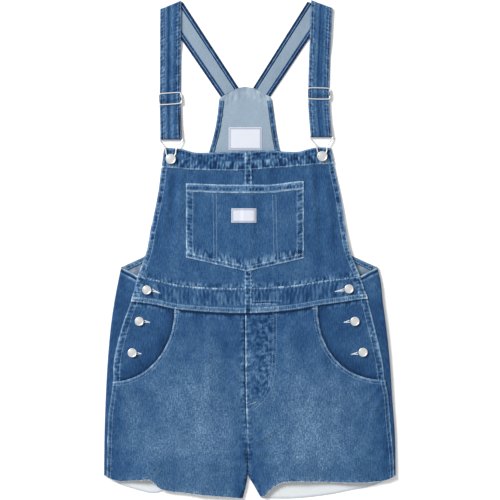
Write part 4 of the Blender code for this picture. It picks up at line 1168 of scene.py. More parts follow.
def bib_pocket():
    point = lambda x: -40 + 25.5 * np.abs(x + 6) / 109
    edge = lambda x: opening_y(x) - POCKET_BAND_HEIGHT
    bands = [
        Band("left", 1, 12, 0.5, 6, 6, 2, tint=0.55),
        Band("right", 1, 12, 0.5, 6, 6, 2, tint=0.55),
        Band("bottom", 1, 9, 0.5, 5.5, 8, 3, tint=0.7),
        Band("bottom", 7, 18, 0.5, 4.6, 15, 8, tint=0.8),
    ]
    rows = [("left", 2), ("left", 12.5), ("right", 2), ("right", 12.5), ("bottom", 2), ("bottom", 8)]
    tone = lambda x, y: 0.385 + 0.6 * streaks(x + 40, y) + 0.02 * noise(x, y, 30, 70, 12)
    plan = pocket_grid(point, lambda x: edge(x) - SEAM_GAP, 150, 2.3)
    folded = [("left", 0, 1.2), ("right", 0, 1.2), ("bottom", 0, 1.2)]
    pocket = cut("bib_pocket", plan, pocket_under, CLOTH, tone, bands, folded, rows, seed=140)
    bands = [Band("top", 4, 11, 0.25, 5, 6, 2, tint=0.4)]
    rows = [("top", 2), ("top", 13)]
    plan = pocket_grid(edge, opening_y, POCKET_BAND_HEIGHT, 1.6)
    across = plan[..., 0]
    wave = np.sin(2 * math.pi * across / 6.2 + 1.5 * noise(across, 0 * across, 25, 5, 2))
    dashes = smoothstep(0.0, 0.6, wave) * np.exp(-(((runs_of(plan)["top"][0] - 8.5) / 2.4) ** 4))
    tone = lambda x, y: 0.52 - 0.34 * dashes + 0.03 * noise(x, y, 30, 20, 13)
    folded += [("top", 0)]
    band = cut("bib_pocket_band", plan, pocket_under, TURNED_EDGE, tone, bands, folded, rows, seed=150)
    return [pocket, band]


add_cuts("pocket:", bib_pocket())

# %% [markdown]
# Back bib and labels
#
# Above the front bib we look at the inside of the back bib, the pale side of the denim. Its
# armhole edges are turned over, so they show a blue strip. Two plain woven labels are sewn on,
# one here and one on the chest pocket.

# %% Back bib, armhole edges and labels
def back_bib():
    edge = lambda side: upright(lambda y: read_table(BACK_EDGE, "y", side, y), BACK_SEAM_Y, 279)
    left, right = edge("left"), edge("right")
    left[0, 1] = right[0, 1] = BACK_SEAM_Y + SEAM_GAP
    plan = patch([left[0], right[0]], BACK_TOP, left, right, stations(150, 3.2), stations(300, 3.6))
    runs = runs_of(plan)
    bands = [Band("top", 0, 16, 0.35, 9, 14, 10)]
    bands += [Band(side, 8, 12, 0.3, 8, 8, 6) for side in SIDES]
    height, rub_and_painted_light = relief_of(runs, CLOTH, bands, [], [], 170)
    soft = 0.35 * noise(plan[..., 0], plan[..., 1], 22, 60, 4) * smoothstep(0, 12, runs["bottom"][0])
    flat = np.zeros(plan.shape[:2])
    outer = np.dstack([plan, flat + CLOTH + np.clip(height + soft, -0.45, 0.25)])
    tone = 0.43 + 0.03 * noise(plan[..., 0], plan[..., 1], 50, 70, 14)
    inner = np.dstack([plan, flat])
    obj = shell("back_bib", outer, inner, rub_and_painted_light, tone, plan, 0.35, finishes=(INSIDE, DENIM))
    return finish_piece(obj, "back_bib", outer, runs, rests_on="floor")


def armhole_hem(side, width=9.0, thickness=1.0):
    y = np.linspace(277, BACK_SEAM_Y, 120)
    line = np.column_stack([read_table(BACK_EDGE, "y", side, y), y])
    line = sample(np.concatenate([line, [ARMHOLE_END[side]]]), stations(330, 2.4))
    along = np.gradient(line, axis=0)
    along /= np.linalg.norm(along, axis=1)[:, None]
    inward = np.column_stack([-along[:, 1], along[:, 0]]) * -SIGN[side]
    across = stations(width, 1.5)[None, :, None]
    plan = (line + inward * 0.4)[:, None] + inward[:, None] * width * across
    bands = [Band("left", 0.5, 9, 0.3, 7, 6, 2, tint=0.5)]
    under = lambda x, y: LAYER + 0 * x
    name = "armhole_hem_" + side
    tone = lambda x, y: 0.34 + 0.07 * noise(x, y, 5, 6, 9) + 0.06 * smoothstep(40, 0, y)
    folded = [("left", 0, 0.2), ("right", 0, -0.6)]
    return cut(name, plan, under, thickness, tone, bands, folded, [("right", 2)], seed=190)


LABEL_BORDER = 2.2


def label(name, x0, x1, y0, y1, under):
    """A plain woven label with a slightly raised border."""
    xs, ys = x0 + (x1 - x0) * stations(x1 - x0, 1.2), y0 + (y1 - y0) * stations(y1 - y0, 1.2)
    plan = np.dstack(np.meshgrid(xs, ys))
    runs = runs_of(plan)
    rim = np.minimum.reduce([runs[s][0] for s in ("left", "right", "top", "bottom")])
    border = np.exp(-(((rim - LABEL_BORDER) / 0.8) ** 2))
    low = under(plan[..., 0], plan[..., 1])
    ripple = 0.04 * noise(plan[..., 0], plan[..., 1], 14, 12, 5)
    outer = np.dstack([plan, low + LABEL_CLOTH + 0.15 * border + ripple - 0.2 * np.exp(-((rim / 0.5) ** 2))])
    inner = np.dstack([plan, low])
    obj = shell(name, outer, inner, border, 0.86 + 0 * border, plan, 0.9, finishes=(LABEL, LABEL))
    return finish_piece(obj, name, outer, runs, rests_on="back_bib")


def label_material():
    material = cloth_material(
        "woven label", LABEL_SHADES, rub_and_painted_light=-0.85, rib=0.02, thread=0.03, speck=0.02, cloud=0.02, bump=0.1
    )
    material.node_tree.nodes["Principled BSDF"].inputs["Roughness"].default_value = 0.6
    return material


LABEL_SHADES = [
    Shade(0.0, (0.20, 0.23, 0.31)),
    Shade(0.5, (0.36, 0.39, 0.48)),
    Shade(1.0, (0.66, 0.68, 0.74)),
]
LABEL = label_material()
on_back = lambda x, y: 0 * x + CLOTH + LABEL_GAP
on_pocket = lambda x, y: pocket_under(x, y) + CLOTH + LABEL_GAP
add_cuts("back bib:", [back_bib()])
add_cuts("armhole edges:", [armhole_hem(half) for half in SIDES])
add_cuts("neck label:", [label("neck_label", -39, 22, 185.5, 227, on_back)])
add_cuts("pocket label:", [label("pocket_label", -34, 12, 50.5, 76.5, on_pocket)])

# %% [markdown]
# Straps
#
# Each strap is one long web, 39 mm wide, with its edges turned in. From the back bib it runs up
# to the shoulder fold, comes over on to the front, passes under, over and under the bars of the
# slider, goes round the hook's bar and returns to the slider's middle bar. We draw that road
# once as a line seen from the side, and then sweep the web along it.

# %% Strap road and strap pieces
def strap_profile(offset):
    """Outer and inner half thickness at a place across the strap: thick at the turned edges."""
    edge = STRAP_HALF - STRAP_EDGE
    middle = smoothstep(edge + 0.6, edge - 0.6, np.abs(offset))
    out = STRAP_EDGE_HALF + (STRAP_MID_OUT - STRAP_EDGE_HALF) * middle
    return out, STRAP_EDGE_HALF + (STRAP_MID_IN - STRAP_EDGE_HALF) * middle


def strap_path(strap):
    """The strap's middle line seen from the side, as rows of y and z."""
    rest = STRAP_EDGE_HALF
    shoulder, stacked = rest + 3.3, rest + TURNED_EDGE + SEAM_GAP
    turn = (shoulder - rest) / 2
    fold = strap.fold_y - turn - rest
    half_turn = np.linspace(0, math.pi, 11)
    path = [(fold + turn * math.sin(a), rest + turn - turn * math.cos(a)) for a in half_turn]
    path += [(fold - 12, stacked + 0.2), (390, stacked + 0.1), (378, stacked - 0.5)]
    path += [(362, rest + 0.5), (345, rest), (318, rest)]
    top_bar, low_bar = strap.slider_y + SLIDER_PITCH, strap.slider_y - SLIDER_PITCH
    over_bar = 7.5
    for start, low, high in ((top_bar, rest, over_bar), (strap.slider_y, over_bar, stacked)):
        for f in np.linspace(0, 1, 10):
            path.append((start - SLIDER_PITCH * f, low + (high - low) * float(smoothstep(0, 1, f))))
    path.remove((strap.slider_y, over_bar))
    loop = rest + SEAM_GAP + WIRE_RADIUS
    path += [(low_bar - 8, stacked), (strap.hook_bar_y + 26, stacked), (strap.hook_bar_y + 12, stacked + 1.4)]
    for a in np.linspace(0, math.pi, 15):
        path.append((strap.hook_bar_y - loop * math.sin(a), rest + loop + loop * math.cos(a)))
    path += [(strap.hook_bar_y + 14, rest), (low_bar - 8, rest), (strap.slider_y + 3, rest)]
    return np.array(path)


FROM_EDGE = [0, 0.3, 0.9, 1.8, 3.4, 5, 6.2, 6.9, 7.6, 8.6, 9.6, 10.8, 13, 15.5, 17.4, 18.6]
STRAP_OFFSETS = np.array(FROM_EDGE) - STRAP_HALF
STRAP_OFFSETS = np.concatenate([STRAP_OFFSETS, [0], -STRAP_OFFSETS[::-1]])


def strap_relief(runs, seed, tint=0.6, shine=0.6):
    """Puckers on the turned edges, the grooves of the rows, and soft waves in the middle."""
    bands = [
        Band("left", 0.5, 8, 0.45, 5.5, 5, 1.5, tint=tint),
        Band("right", 0.5, 8, 0.45, 5.5, 5, 1.5, tint=tint),
    ]
    rows = [("left", 6), ("right", 6)]
    return relief_of(runs, TURNED_EDGE, bands, [("left", 0, shine), ("right", 0, shine)], rows, seed)


STRIPES = {
    "left": [(-9.5, 0.13), (-3.5, -0.26), (3, 0.13)],
    "right": [(-6, 0.10), (-2, -0.24), (3.5, -0.12), (8, 0.13)],
}
DASHED = {"left": (6.5, 15), "right": (9.5, 15)}


def strap_lines(side, along, y):
    """Worn and dark lines that run down a strap, short dark dashes between two of them, and on the left strap
    a painted shadow along one edge below the slider.
    """
    tone = sum(s * np.exp(-(((STRAP_OFFSETS - at) / 1.9) ** 2)) for at, s in STRIPES[side])
    low, high = DASHED[side]
    inside = smoothstep(low - 1, low + 1, STRAP_OFFSETS) * smoothstep(high + 1, high - 1, STRAP_OFFSETS)
    if side == "left":
        # Painted shadow: a dark strip along the left strap's edge below the slider.
        fold = smoothstep(12.5, 15, STRAP_OFFSETS) * smoothstep(262, 240, y) * smoothstep(210, 216, y)
        tone = tone - 0.85 * fold
    return tone - 0.17 * inside * (0.5 + 0.5 * ticks(along, 6.5, 205))


def strap_front(side):
    strap, name = STRAPS[side], "strap_front_" + side
    path = strap_path(strap)
    path = sample(path, np.linspace(0, 1, int(length_of(path) / 1.9)))
    along = np.gradient(path, axis=0)
    along /= np.linalg.norm(along, axis=1)[:, None]
    normal = np.column_stack([-along[:, 1], along[:, 0]])
    upper_run = int(np.argmax(path[:, 0] < 345))
    normal *= np.sign(normal[upper_run, 1])
    centre = read_table(STRAP_CENTRE, "y", side, path[:, 0])
    slant = strap.fold_slope * smoothstep(375, 440, path[:, 0])
    out, into = strap_profile(STRAP_OFFSETS)
    x = centre[:, None] + STRAP_OFFSETS
    y = path[:, :1] + slant[:, None] * STRAP_OFFSETS
    middle = np.dstack([x, y, np.broadcast_to(path[:, 1:], x.shape)])
    runs = runs_of(middle)
    height, rub_and_painted_light = strap_relief(runs, 200 if side == "left" else 220)
    across = lambda reach: np.dstack([0 * x, normal[:, :1] * reach, normal[:, 1:] * reach])
    calm = smoothstep(14, 26, np.abs(path[:, :1] - strap.slider_y)) * smoothstep(6, 20, runs["bottom"][0])
    calm = calm * smoothstep(4, 16, path[:, :1] - strap.hook_bar_y + 4)
    outer = middle + across(out + np.clip(height, -0.6, 0.35 * calm))
    outer[..., 2] = np.maximum(outer[..., 2], 0.1)  # the lower run lies on the surface
    inner = middle - across(into)
    edges = smoothstep(7.6, 6.4, np.minimum(runs["left"][0], runs["right"][0]))
    tone = 0.415 - 0.11 * edges + 0.03 * noise(x, runs["left"][1], 14, 60, 15)
    tone += strap_lines(side, runs["left"][1], path[:, :1])
    cloth = np.dstack([x, runs["left"][1]])
    obj = shell(name, outer, inner, rub_and_painted_light, tone, cloth, 0.5)
    return finish_piece(obj, name, outer, runs, rests_on="floor")


def strap_back(side):
    """From the back bib up to the shoulder fold, inner face up with its turned edges."""
    strap, sign, name = STRAPS[side], SIGN[side], "strap_back_" + side
    top_centre = np.array([float(read_table(STRAP_CENTRE, "y", side, strap.fold_y)), strap.fold_y])
    low = np.array([strap.bib_outer, strap.bib_inner], float)
    high = top_centre + np.array([[sign * STRAP_HALF, 0], [-sign * STRAP_HALF, 0]])
    high[:, 1] += strap.fold_slope * (high[:, 0] - top_centre[0]) - 3.3
    high[:, 0] += strap.back_shift
    along = high.mean(axis=0) - low.mean(axis=0)
    low = low + along / np.linalg.norm(along) * (SEAM_GAP + 0.1)
    rows = stations(165, 2.4, low=False, high=False)[:, None, None]
    f = ((STRAP_OFFSETS + STRAP_HALF) / (2 * STRAP_HALF))[None, :, None]
    plan = (low[0] + (high[0] - low[0]) * rows) * (1 - f) + (low[1] + (high[1] - low[1]) * rows) * f
    runs = runs_of(plan)
    height, rub_and_painted_light = strap_relief(runs, 240 if side == "left" else 260, 0.2, 0.1)
    into = strap_profile(STRAP_OFFSETS)[1]
    top = STRAP_EDGE_HALF + into + np.clip(height, -0.5, 0.0)
    outer = np.dstack([plan, top])
    inner = np.dstack([plan, 0 * top])
    edge = np.minimum(runs["left"][0], runs["right"][0])
    tone = 0.38 + 0.04 * noise(plan[..., 0], plan[..., 1], 16, 40, 16)
    line = 0.52 * np.exp(-(((edge - 5.0) / 0.8) ** 2)) + 0.5 * np.exp(-(((edge - 8.9) / 0.8) ** 2))
    tone = tone + (0.03 + line - tone) * smoothstep(9.5, 8.9, edge)
    pale = np.abs(STRAP_OFFSETS[:-1]) < STRAP_HALF - 9.4
    obj = shell(name, outer, inner, rub_and_painted_light, tone, plan, 0.35, finishes=(DENIM, DENIM, INSIDE), middle=pale)
    return finish_piece(obj, name, outer, runs, rests_on="floor")


add_cuts("straps:", [make(half) for half in SIDES for make in (strap_front, strap_back)])

# %% [markdown]
# Metal: sliders, hooks and buttons
#
# The metal is plated and a little dull from wear. Two finishes share one node group: its spots
# move the colour and the roughness, and its scratches are fine relief. The buttons are worn
# duller than the wires. The slider is a bent wire frame with a middle bar, the hook is one wire
# with a bar at the top and a keyhole at the bottom, and the buttons are turned round an axis.

# %% Metal finish
def make_wear_group():
    group, given, made = new_group("Metal wear", {"Place": None, "Scale": 0.6}, ["Dull", "Scratch"])
    spots = stretched_noise(group, given["Place"], 0.0021, 0.0021, detail=4.0)
    fine = stretched_noise(group, given["Place"], 0.0003, 0.0016, detail=3.0)
    group.links.new(calculate(group, "MULTIPLY_ADD", spots, given["Scale"], 0.5, clamp=True), made["Dull"])
    group.links.new(fine, made["Scratch"])
    return group


METAL_WEAR = make_wear_group()


def metal_material(name, colour, dark, metallic, low, high):
    """Plated metal whose roughness goes from low, between its spots, to high on them."""
    material = bpy.data.materials.new(name)
    material.use_nodes = True
    tree = material.node_tree
    shader = tree.nodes["Principled BSDF"]
    shader.inputs["Metallic"].default_value = metallic
    place = tree.nodes.new("ShaderNodeTexCoord")
    wear = tree.nodes.new("ShaderNodeGroup")
    wear.node_tree = METAL_WEAR
    tree.links.new(place.outputs["Object"], wear.inputs["Place"])
    tone = tree.nodes.new("ShaderNodeValToRGB")
    tone.color_ramp.elements[0].color = (*dark, 1)
    tone.color_ramp.elements[1].color = (*colour, 1)
    tree.links.new(wear.outputs["Dull"], tone.inputs["Fac"])
    tree.links.new(tone.outputs["Color"], shader.inputs["Base Color"])
    rough = calculate(tree, "MULTIPLY_ADD", wear.outputs["Dull"], low - high, high)
    tree.links.new(rough, shader.inputs["Roughness"])
    relief = tree.nodes.new("ShaderNodeBump")
    relief.inputs["Strength"].default_value = 0.12
    relief.inputs["Distance"].default_value = 0.00005
    tree.links.new(wear.outputs["Scratch"], relief.inputs["Height"])
    tree.links.new(relief.outputs["Normal"], shader.inputs["Normal"])
    return material


BRIGHT, BRIGHT_SPOTS = (0.83, 0.82, 0.81), (0.64, 0.64, 0.63)
DULL, DULL_SPOTS = (0.74, 0.745, 0.74), (0.53, 0.54, 0.53)
SILVER = metal_material("plated silver", BRIGHT, BRIGHT_SPOTS, metallic=0.55, low=0.28, high=0.45)
WORN_SILVER = metal_material("worn button silver", DULL, DULL_SPOTS, metallic=0.55, low=0.3, high=0.5)
print("metal finishes made")

# %% Sliders and hooks
def tube(name, centre, radius, material, node, sides=12):
    """A closed wire along a closed line of points, flattened where radius has two numbers."""
    centre = np.asarray(centre, float)
    wide, thick = radius if np.ndim(radius) else (radius, radius)
    along = np.roll(centre, -1, axis=0) - np.roll(centre, 1, axis=0)
    along /= np.linalg.norm(along, axis=1)[:, None]
    flat = np.cross(along, [0, 0, 1.0])
    flat /= np.linalg.norm(flat, axis=1)[:, None]
    up = np.cross(flat, along)
    a = np.linspace(0, 2 * math.pi, sides, endpoint=False)
    ring = flat[:, None] * (wide * np.cos(a))[None, :, None]
    ring = ring + up[:, None] * (thick * np.sin(a))[None, :, None]
    points = (centre[:, None] + ring).reshape(-1, 3)
    index = np.arange(len(points)).reshape(len(centre), sides)
    after, turned = np.roll(index, -1, axis=0), np.roll(index, -1, axis=1)
    quads = np.stack([index, after, np.roll(after, -1, axis=1), turned], axis=-1).reshape(-1, 4)
    obj = add_mesh(name, points, quads, [material], smooth=60)
    if node:
        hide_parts(node)
    return obj


def smooth_loop(points, count):
    """A round-cornered closed line through points, evenly spaced."""
    points = np.asarray(points, float)
    for _ in range(3):
        after = np.roll(points, -1, axis=0)
        near, far = 0.75 * points + 0.25 * after, 0.25 * points + 0.75 * after
        points = np.stack([near, far], axis=1).reshape(-1, 3)
    closed = np.concatenate([points, points[:1]])
    return sample(closed, np.linspace(0, 1, count, endpoint=False))


def slider(side):
    """The slider's outer frame and its middle bar, tilted as the strap lifts it."""
    strap = STRAPS[side]
    centre = float(read_table(STRAP_CENTRE, "y", side, strap.slider_y))
    half_x, half_y, low_bar, top_bar = STRAP_HALF + 1.3, SLIDER_PITCH, 6.1, 3.7
    height = lambda y: (low_bar + top_bar) / 2 + y * (top_bar - low_bar) / (2 * SLIDER_PITCH)
    lean = {"left": 0.075, "right": -0.02}[side]
    place = lambda x, y: (centre + x - lean * y, strap.slider_y + y + lean * x, height(y))
    corners = []
    for sx, sy in ((1, 1), (-1, 1), (-1, -1), (1, -1)):
        for a, b in ((0, 2.4), (2.4, 0)) if sx * sy < 0 else ((2.4, 0), (0, 2.4)):
            corners.append(place(sx * (half_x - b), sy * (half_y - a)))
    frame_line = smooth_loop(corners, 96)
    tube("slider_frame_" + side, frame_line, (1.15, 1.0), SILVER, "slider_" + side)
    span = np.linspace(-half_x + 0.6, half_x - 0.6, 24)
    there = [place(x, 0.01) for x in span]
    back = [place(x, -0.01) for x in span[::-1]]
    tube("slider_bar_" + side, np.array(there + back), (1.0, 0.9), SILVER, None)


def wire_loop(side):
    """The hook's wire: a bar in the strap's loop, slanting sides, a keyhole round the button's neck."""
    strap = STRAPS[side]
    bx, by = strap.button
    centre = float(read_table(STRAP_CENTRE, "y", side, strap.hook_bar_y))
    bar_z = 2 * STRAP_EDGE_HALF + SEAM_GAP + WIRE_RADIUS
    band_z = float(base(bx, by)) + BAND + SEAM_GAP + WIRE_RADIUS + 0.2
    half_bar, corner = STRAP_HALF + 2.6, 3.0
    grip = BUTTON_NECK + SEAM_GAP + WIRE_RADIUS
    right = [(half_bar - corner, strap.hook_bar_y, bar_z), (half_bar - 0.9, strap.hook_bar_y - 0.9, bar_z)]
    right += [(half_bar, strap.hook_bar_y - corner, bar_z), (half_bar - 3.5, strap.hook_bar_y - 9, bar_z + 1)]
    right += [(12.5, by + 24, band_z - 0.3), (9.6, by + 18, band_z), (9.0, by + 12, band_z)]
    right += [(7.8, by + 7.5, band_z), (5.4, by + 3.8, band_z)]
    for a in np.linspace(0.15, math.pi / 2, 7):
        right.append((grip * math.cos(a), by - grip * math.sin(a), band_z))
    left = [(-x, y, z) for x, y, z in right[-2::-1]]
    middle_x = lambda y: bx + (centre - bx) * float(smoothstep(by, strap.hook_bar_y, y))
    return [(middle_x(y) + x, y, z) for x, y, z in right + left]


for half in SIDES:
    slider(half)
    tube("hook_wire_" + half, smooth_loop(wire_loop(half), 220), WIRE_RADIUS, SILVER, "hook_" + half)
print("sliders and hooks made")

# %% Buttons
def turned(name, node, profile, place, material, sides=48):
    """A closed shape turned round the vertical axis at a place."""
    profile = np.asarray(profile, float)
    a = np.linspace(0, 2 * math.pi, sides, endpoint=False)
    r, z = profile[:, :1], profile[:, 1:] + np.zeros((1, sides))
    points = np.dstack([r * np.cos(a), r * np.sin(a), z]).reshape(-1, 3) + np.asarray(place, float)
    index = np.arange(len(points)).reshape(len(profile), sides)
    turned_index = np.roll(index, -1, axis=1)
    quads = np.stack([index[:-1], turned_index[:-1], turned_index[1:], index[1:]], axis=-1).reshape(-1, 4)
    obj = add_mesh(name, points, quads, [material], smooth=45)
    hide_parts(node)
    return obj


def button_profile(neck_height, head):
    """Neck, rounded rim, a groove and a softly domed face, with closed ends."""
    rim = neck_height + 0.7
    profile = [(0.01, 0), (BUTTON_NECK, 0), (BUTTON_NECK, neck_height)]
    profile += [(head - 1.0, neck_height), (head - 0.3, neck_height + 0.2)]
    profile += [(head, rim), (head, rim + 0.35), (head - 0.25, rim + 0.9), (head - 0.75, rim + 1.25)]
    profile += [(head - 1.3, rim + 1.4), (head - 1.9, rim + 1.25), (head - 2.3, rim + 0.85)]
    profile += [(head - 2.8, rim + 0.8), (head - 3.3, rim + 1.0), (head * 0.42, rim + 1.2)]
    profile += [(head * 0.36, rim + 1.05), (head * 0.3, rim + 1.2)]
    return profile + [(head * 0.15, rim + 1.3), (0.01, rim + 1.32)]


def highest(under, x, y, reach):
    angles = np.linspace(0, 2 * math.pi, 13)
    px, py = np.append(x + reach * np.cos(angles), x), np.append(y + reach * np.sin(angles), y)
    return float(np.max(under(px, py)))


for half in SIDES:
    x, y = STRAPS[half].button
    seat = highest(base, x, y, BUTTON_NECK) + BAND + SEAM_GAP
    node = "bib_button_" + half
    turned("turned_" + node, node, button_profile(2 * WIRE_RADIUS + 0.8, 9.5), (x, y, seat), WORN_SILVER)
    for k, (x, y) in enumerate(SIDE_BUTTONS[half]):
        seat = highest(base, x, y, BUTTON_NECK) + (WAISTBAND if k == 0 else CLOTH) + SEAM_GAP
        node = f"side_button_{half}_{k + 1}"
        turned("turned_" + node, node, button_profile(1.4, 8.5), (x, y, seat), WORN_SILVER)
print("buttons made")

# %% [markdown]
# Stitching
#
# Every row is made of real stitches, because at this distance a row reads as a fine broken line
# that sinks into its own groove. A stitch is a short rounded bar, a little lower at its ends. We
# follow a side of a piece at a fixed distance, lay the bars along that line, and join all the
# bars of one piece into one mesh.

# %% Thread and stitches
THREAD_SHADES = [
    Shade(0.0, (0.10, 0.19, 0.33)),
    Shade(0.5, (0.27, 0.39, 0.54)),
    Shade(1.0, (0.74, 0.78, 0.82)),
]
THREAD = cloth_material(
    "sewing thread", THREAD_SHADES, rub_and_painted_light=0.3, rib=0.03, thread=0.05, speck=0.05, cloud=0.1, bump=0.1
)
BAR_SHAPE = [(-0.5, 0.35, -0.12), (-0.3, 0.95, 0.1), (0.3, 0.95, 0.1), (0.5, 0.35, -0.12)]
BAR_FACES = 14
STITCH_PITCH, THREAD_RADIUS = 3.3, 0.36


def thread_bars(name, starts, ends, radius, tone, seed=0):
    """One mesh of rounded bars, from starts to ends."""
    starts, ends = np.asarray(starts, float), np.asarray(ends, float)
    along = ends - starts
    middle = (starts + ends) / 2
    unit = along / np.linalg.norm(along, axis=1)[:, None]
    flat = np.cross(unit, [0, 0, 1.0])
    flat /= np.linalg.norm(flat, axis=1)[:, None]
    up = np.cross(flat, unit)
    rings = []
    for t, size, lift in BAR_SHAPE:
        centre = middle + along * t + up * (lift + radius * 0.35)
        rings.append(np.stack([centre + r * size * radius for r in (flat, up, -flat, -up)], axis=1))
    points = np.stack(rings, axis=1)
    count = len(points)
    index = np.arange(16).reshape(4, 4)
    sides = []
    for low, high in zip(index[:-1], index[1:]):
        for s in range(4):
            sides.append([low[s], low[(s + 1) % 4], high[(s + 1) % 4], high[s]])
    caps = [list(index[0][::-1]), list(index[3])]
    quads = (np.array(sides + caps)[None] + 16 * np.arange(count)[:, None, None]).reshape(-1, 4)
    random = np.random.default_rng(seed + count)
    shade = np.repeat(tone + random.uniform(-0.12, 0.12, count), 16)
    flat_points = points.reshape(-1, 3)
    numbers = {"fade_and_painted_shade": shade, "rub_and_painted_light": 0 * shade}
    obj = add_mesh(name, flat_points, quads, [THREAD], numbers=numbers, cloth=flat_points[:, :2], smooth=80)
    return obj


def row_on(piece, side, distance, begin=0.0, finish=1.0):
    """A line on a piece's face, a fixed distance in from one of its sides."""
    away, face = piece.runs[side][0], piece.face
    if side in ("bottom", "top"):
        away, face = away.T, face.transpose(1, 0, 2)
    if side in ("right", "top"):
        away, face = away[:, ::-1], face[:, ::-1]
    line = np.array([[np.interp(distance, a, f[:, k]) for k in range(3)] for a, f in zip(away, face)])
    share = np.linspace(0, 1, len(line))
    return line[(share >= begin) & (share <= finish)]


def stitches_along(line, pitch, share=0.74):
    """Starts and ends of the stitches of one row."""
    count = max(2, int(length_of(line) / pitch))
    at = (np.arange(count) + 0.5) / count
    half = share / 2 / count
    return sample(line, at - half), sample(line, at + half)


SEWN = {}


def sew(name, lines, tone=0.46, pitch=STITCH_PITCH):
    """Stitches for all rows of one piece, as one mesh that belongs to it."""
    bars = [stitches_along(line, pitch) for line in lines if length_of(line) > 3 * pitch]
    count = len(SEWN.get(name, []))
    starts, ends = (np.concatenate([bar[k] for bar in bars]) for k in (0, 1))
    obj = thread_bars(f"stitches_{name}_{count}", starts, ends, THREAD_RADIUS, tone)
    SEWN.setdefault(name, []).append(obj)


PIECE = {c.obj.name.removeprefix("cloth_"): c for c in CUTS}
ROWS = {"bib_pocket": [("left", 2), ("left", 12.5), ("right", 2), ("right", 12.5)]}
ROWS["bib_pocket"] += [("bottom", 2), ("bottom", 8)]
ROWS |= {"bib_pocket_band": [("top", 2), ("top", 13)], "centre_seam_strip": [("left", 2), ("right", 2)]}
for half in SIDES:
    ROWS["waistband_" + half] = [("top", 2.2), ("bottom", 2.2), ("bottom", 9), ("right", 2.2)]
    ROWS["bib_" + half] = [("right", 2.2), ("right", 9.5)]
    ROWS["bib_band_" + half] = [("top", 2.2), ("bottom", 2.2), ("right", 2.2)]
    ROWS["side_panel_" + half] = [("right", 2), ("right", 12)]
    ROWS["leg_front_" + half] = [("right", 2), ("right", 8)]
    ROWS["strap_front_" + half] = [("left", 1.6), ("left", 6), ("right", 1.6), ("right", 6)]
    ROWS["strap_back_" + half] = [("left", 5.2), ("right", 5.2)]
    ROWS["armhole_hem_" + half] = [("right", 2), ("left", 1.6)]
for name, rows in ROWS.items():
    sew(name, [row_on(PIECE[name], side, away) for side, away in rows])
print("stitches:", sum(len(o.data.polygons) // BAR_FACES for group in SEWN.values() for o in group))

# %% Curved rows, buttonholes and bartacks
def tree_of(piece):
    rows, columns = piece.face.shape[:2]
    quads, _ = grid_faces(rows, columns)
    return BVHTree.FromPolygons(piece.face.reshape(-1, 3).tolist(), quads.tolist())


TREES = {}


def drop(name, points):
    """Drops points of a flat line on to a piece's face."""
    if name not in TREES:
        TREES[name] = tree_of(PIECE[name])
    made = []
    for x, y in points:
        hit = TREES[name].ray_cast(Vector((x, y, 60)), Vector((0, 0, -1)))[0]
        if hit is not None:
            made.append([x, y, hit.z])
    return np.array(made)


def smooth_line(points, count=60):
    """A soft curve through a few points of a flat line."""
    points = np.asarray(points, float)
    run = run_along(points)
    at = np.linspace(0, run[-1], count)
    rows = [Pair(r, *p) for r, p in zip(run, points)]
    return np.column_stack([read_table(rows, "y", column, at) for column in ("left", "right")])


FLY_INNER = [(35, -158), (35.5, -205), (35, -251)]
TAB_LINES = [[(4, -94.6), (58, -94.2)], [(4, -100.5), (42, -100.5), (49, -102.5), (52, -107), (52.5, -112)]]
POCKET_LINES = [[(-68.2, 104), (-66, -18)], [(-61.8, 104), (-61, -19)]]
POCKET_LINES += [[(42, 106), (45, -22)], [(48, 106), (51, -20)]]
FLY_BARTACK = [(-2, -285), (5, -284), (12, -281)]


def fly_rows():
    fly, beside = smooth_line(FLY), smooth_line([(x - 6, y + 1.5) for x, y in FLY])
    return [drop("leg_front_right", line) for line in (fly, beside, smooth_line(FLY_INNER))]


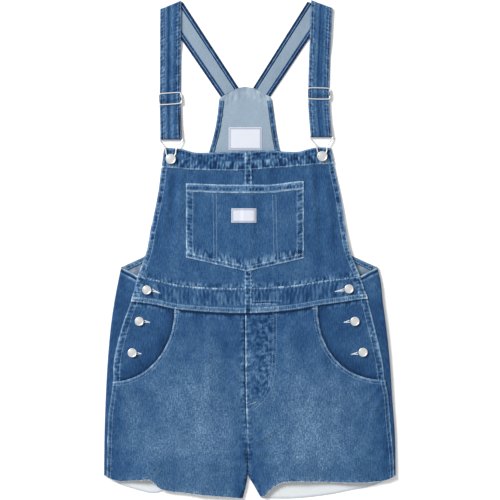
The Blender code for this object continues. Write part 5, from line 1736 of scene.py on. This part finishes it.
sew("leg_front_right", fly_rows(), tone=0.36)
sew("leg_front_right", [drop("leg_front_right", smooth_line(FLY_BARTACK, 16))], tone=0.95, pitch=1.3)
sew("waistband_right", [drop("waistband_right", smooth_line(line)) for line in TAB_LINES], tone=0.6)
for half in SIDES:
    name = "leg_front_" + half
    sew(name, [drop(name, beside_mouth(half, 2.4))], tone=0.55)
    sew(name, [drop(name, beside_mouth(half, 7))], tone=0.3)
    start = beside_mouth(half, 1.5)[3]
    bartack = sample([start, start - (9 * SIGN[half], 0)], np.linspace(0, 1, 12))
    sew(name, [drop(name, bartack)], tone=0.9, pitch=1.2)
sew("bib_pocket", [drop("bib_pocket", sample(line, np.linspace(0, 1, 40))) for line in POCKET_LINES])
BUTTONHOLES = {
    "waistband_left": [((-181, -74), (-166, -80))],
    "waistband_right": [((174, -74), (157, -77))],
    "side_panel_left": [((-195, -132), (-184, -134)), ((-209, -191), (-200, -192))],
    "side_panel_right": [((184, -132), (173, -134)), ((199, -191), (187, -193))],
}


def buttonhole(name, near, far, pitch=0.7):
    """Short stitches on both sides of a slit that is wide at the button and closes away from it."""
    near, far = np.array(near, float), np.array(far, float)
    reach = np.linalg.norm(far - near)
    unit = (far - near) / reach
    side = np.array([-unit[1], unit[0]])
    starts, ends = [], []
    for s in (-1, 1):
        for at in np.arange(0, reach, pitch):
            half = 0.25 + 1.9 * (1 - at / reach) ** 1.5
            p = near + unit * at
            starts.append(p + side * s * max(half - 1.1, 0.05))
            ends.append(p + side * s * (half + 0.55))
    low, high = drop(name, starts), drop(name, ends)
    obj = thread_bars(f"buttonhole_{name}_{int(abs(near[1]))}", low, high, 0.45, 0.98)
    SEWN.setdefault(name, []).append(obj)


for name, holes in BUTTONHOLES.items():
    for near, far in holes:
        buttonhole(name, near, far)
print("buttonholes:", sum(len(h) for h in BUTTONHOLES.values()))

# %% [markdown]
# Raw hems
#
# The hems are cut, not sewn, and washing has pulled short white threads out of them. Each thread
# is a thin bar that starts inside the edge and leaves it at its own angle.

# %% Frayed threads
def fray(name, seed, spacing=0.8):
    piece = PIECE[name]
    line = row_on(piece, "bottom", 0.4)
    random = np.random.default_rng(seed)
    count = int(length_of(line) / spacing)
    at = np.sort(random.uniform(0.01, 0.99, count))
    starts = sample(line, at)
    down = random.uniform(0.6, 3.2, count) * random.uniform(0.4, 1.0, count)
    aside, lift = random.uniform(-1.2, 1.2, count), random.uniform(-0.7, 0.05, count)
    ends = starts + np.column_stack([aside, -down, lift])
    obj = thread_bars("fray_" + name, starts, ends, 0.17, 0.95, seed)
    SEWN.setdefault(name, []).append(obj)


for number, half in enumerate(SIDES):
    name = "leg_front_" + half
    fray(name, 40 + number)
    print(name, "frayed threads:", len(SEWN[name][-1].data.polygons) // BAR_FACES)

# %% [markdown]
# Sizes of the cut pieces
#
# For each piece of cloth we work out the flat size it was cut to, along its own rows and columns.

# %% Sizes and finish
for c in CUTS:
    declare_cut(c)
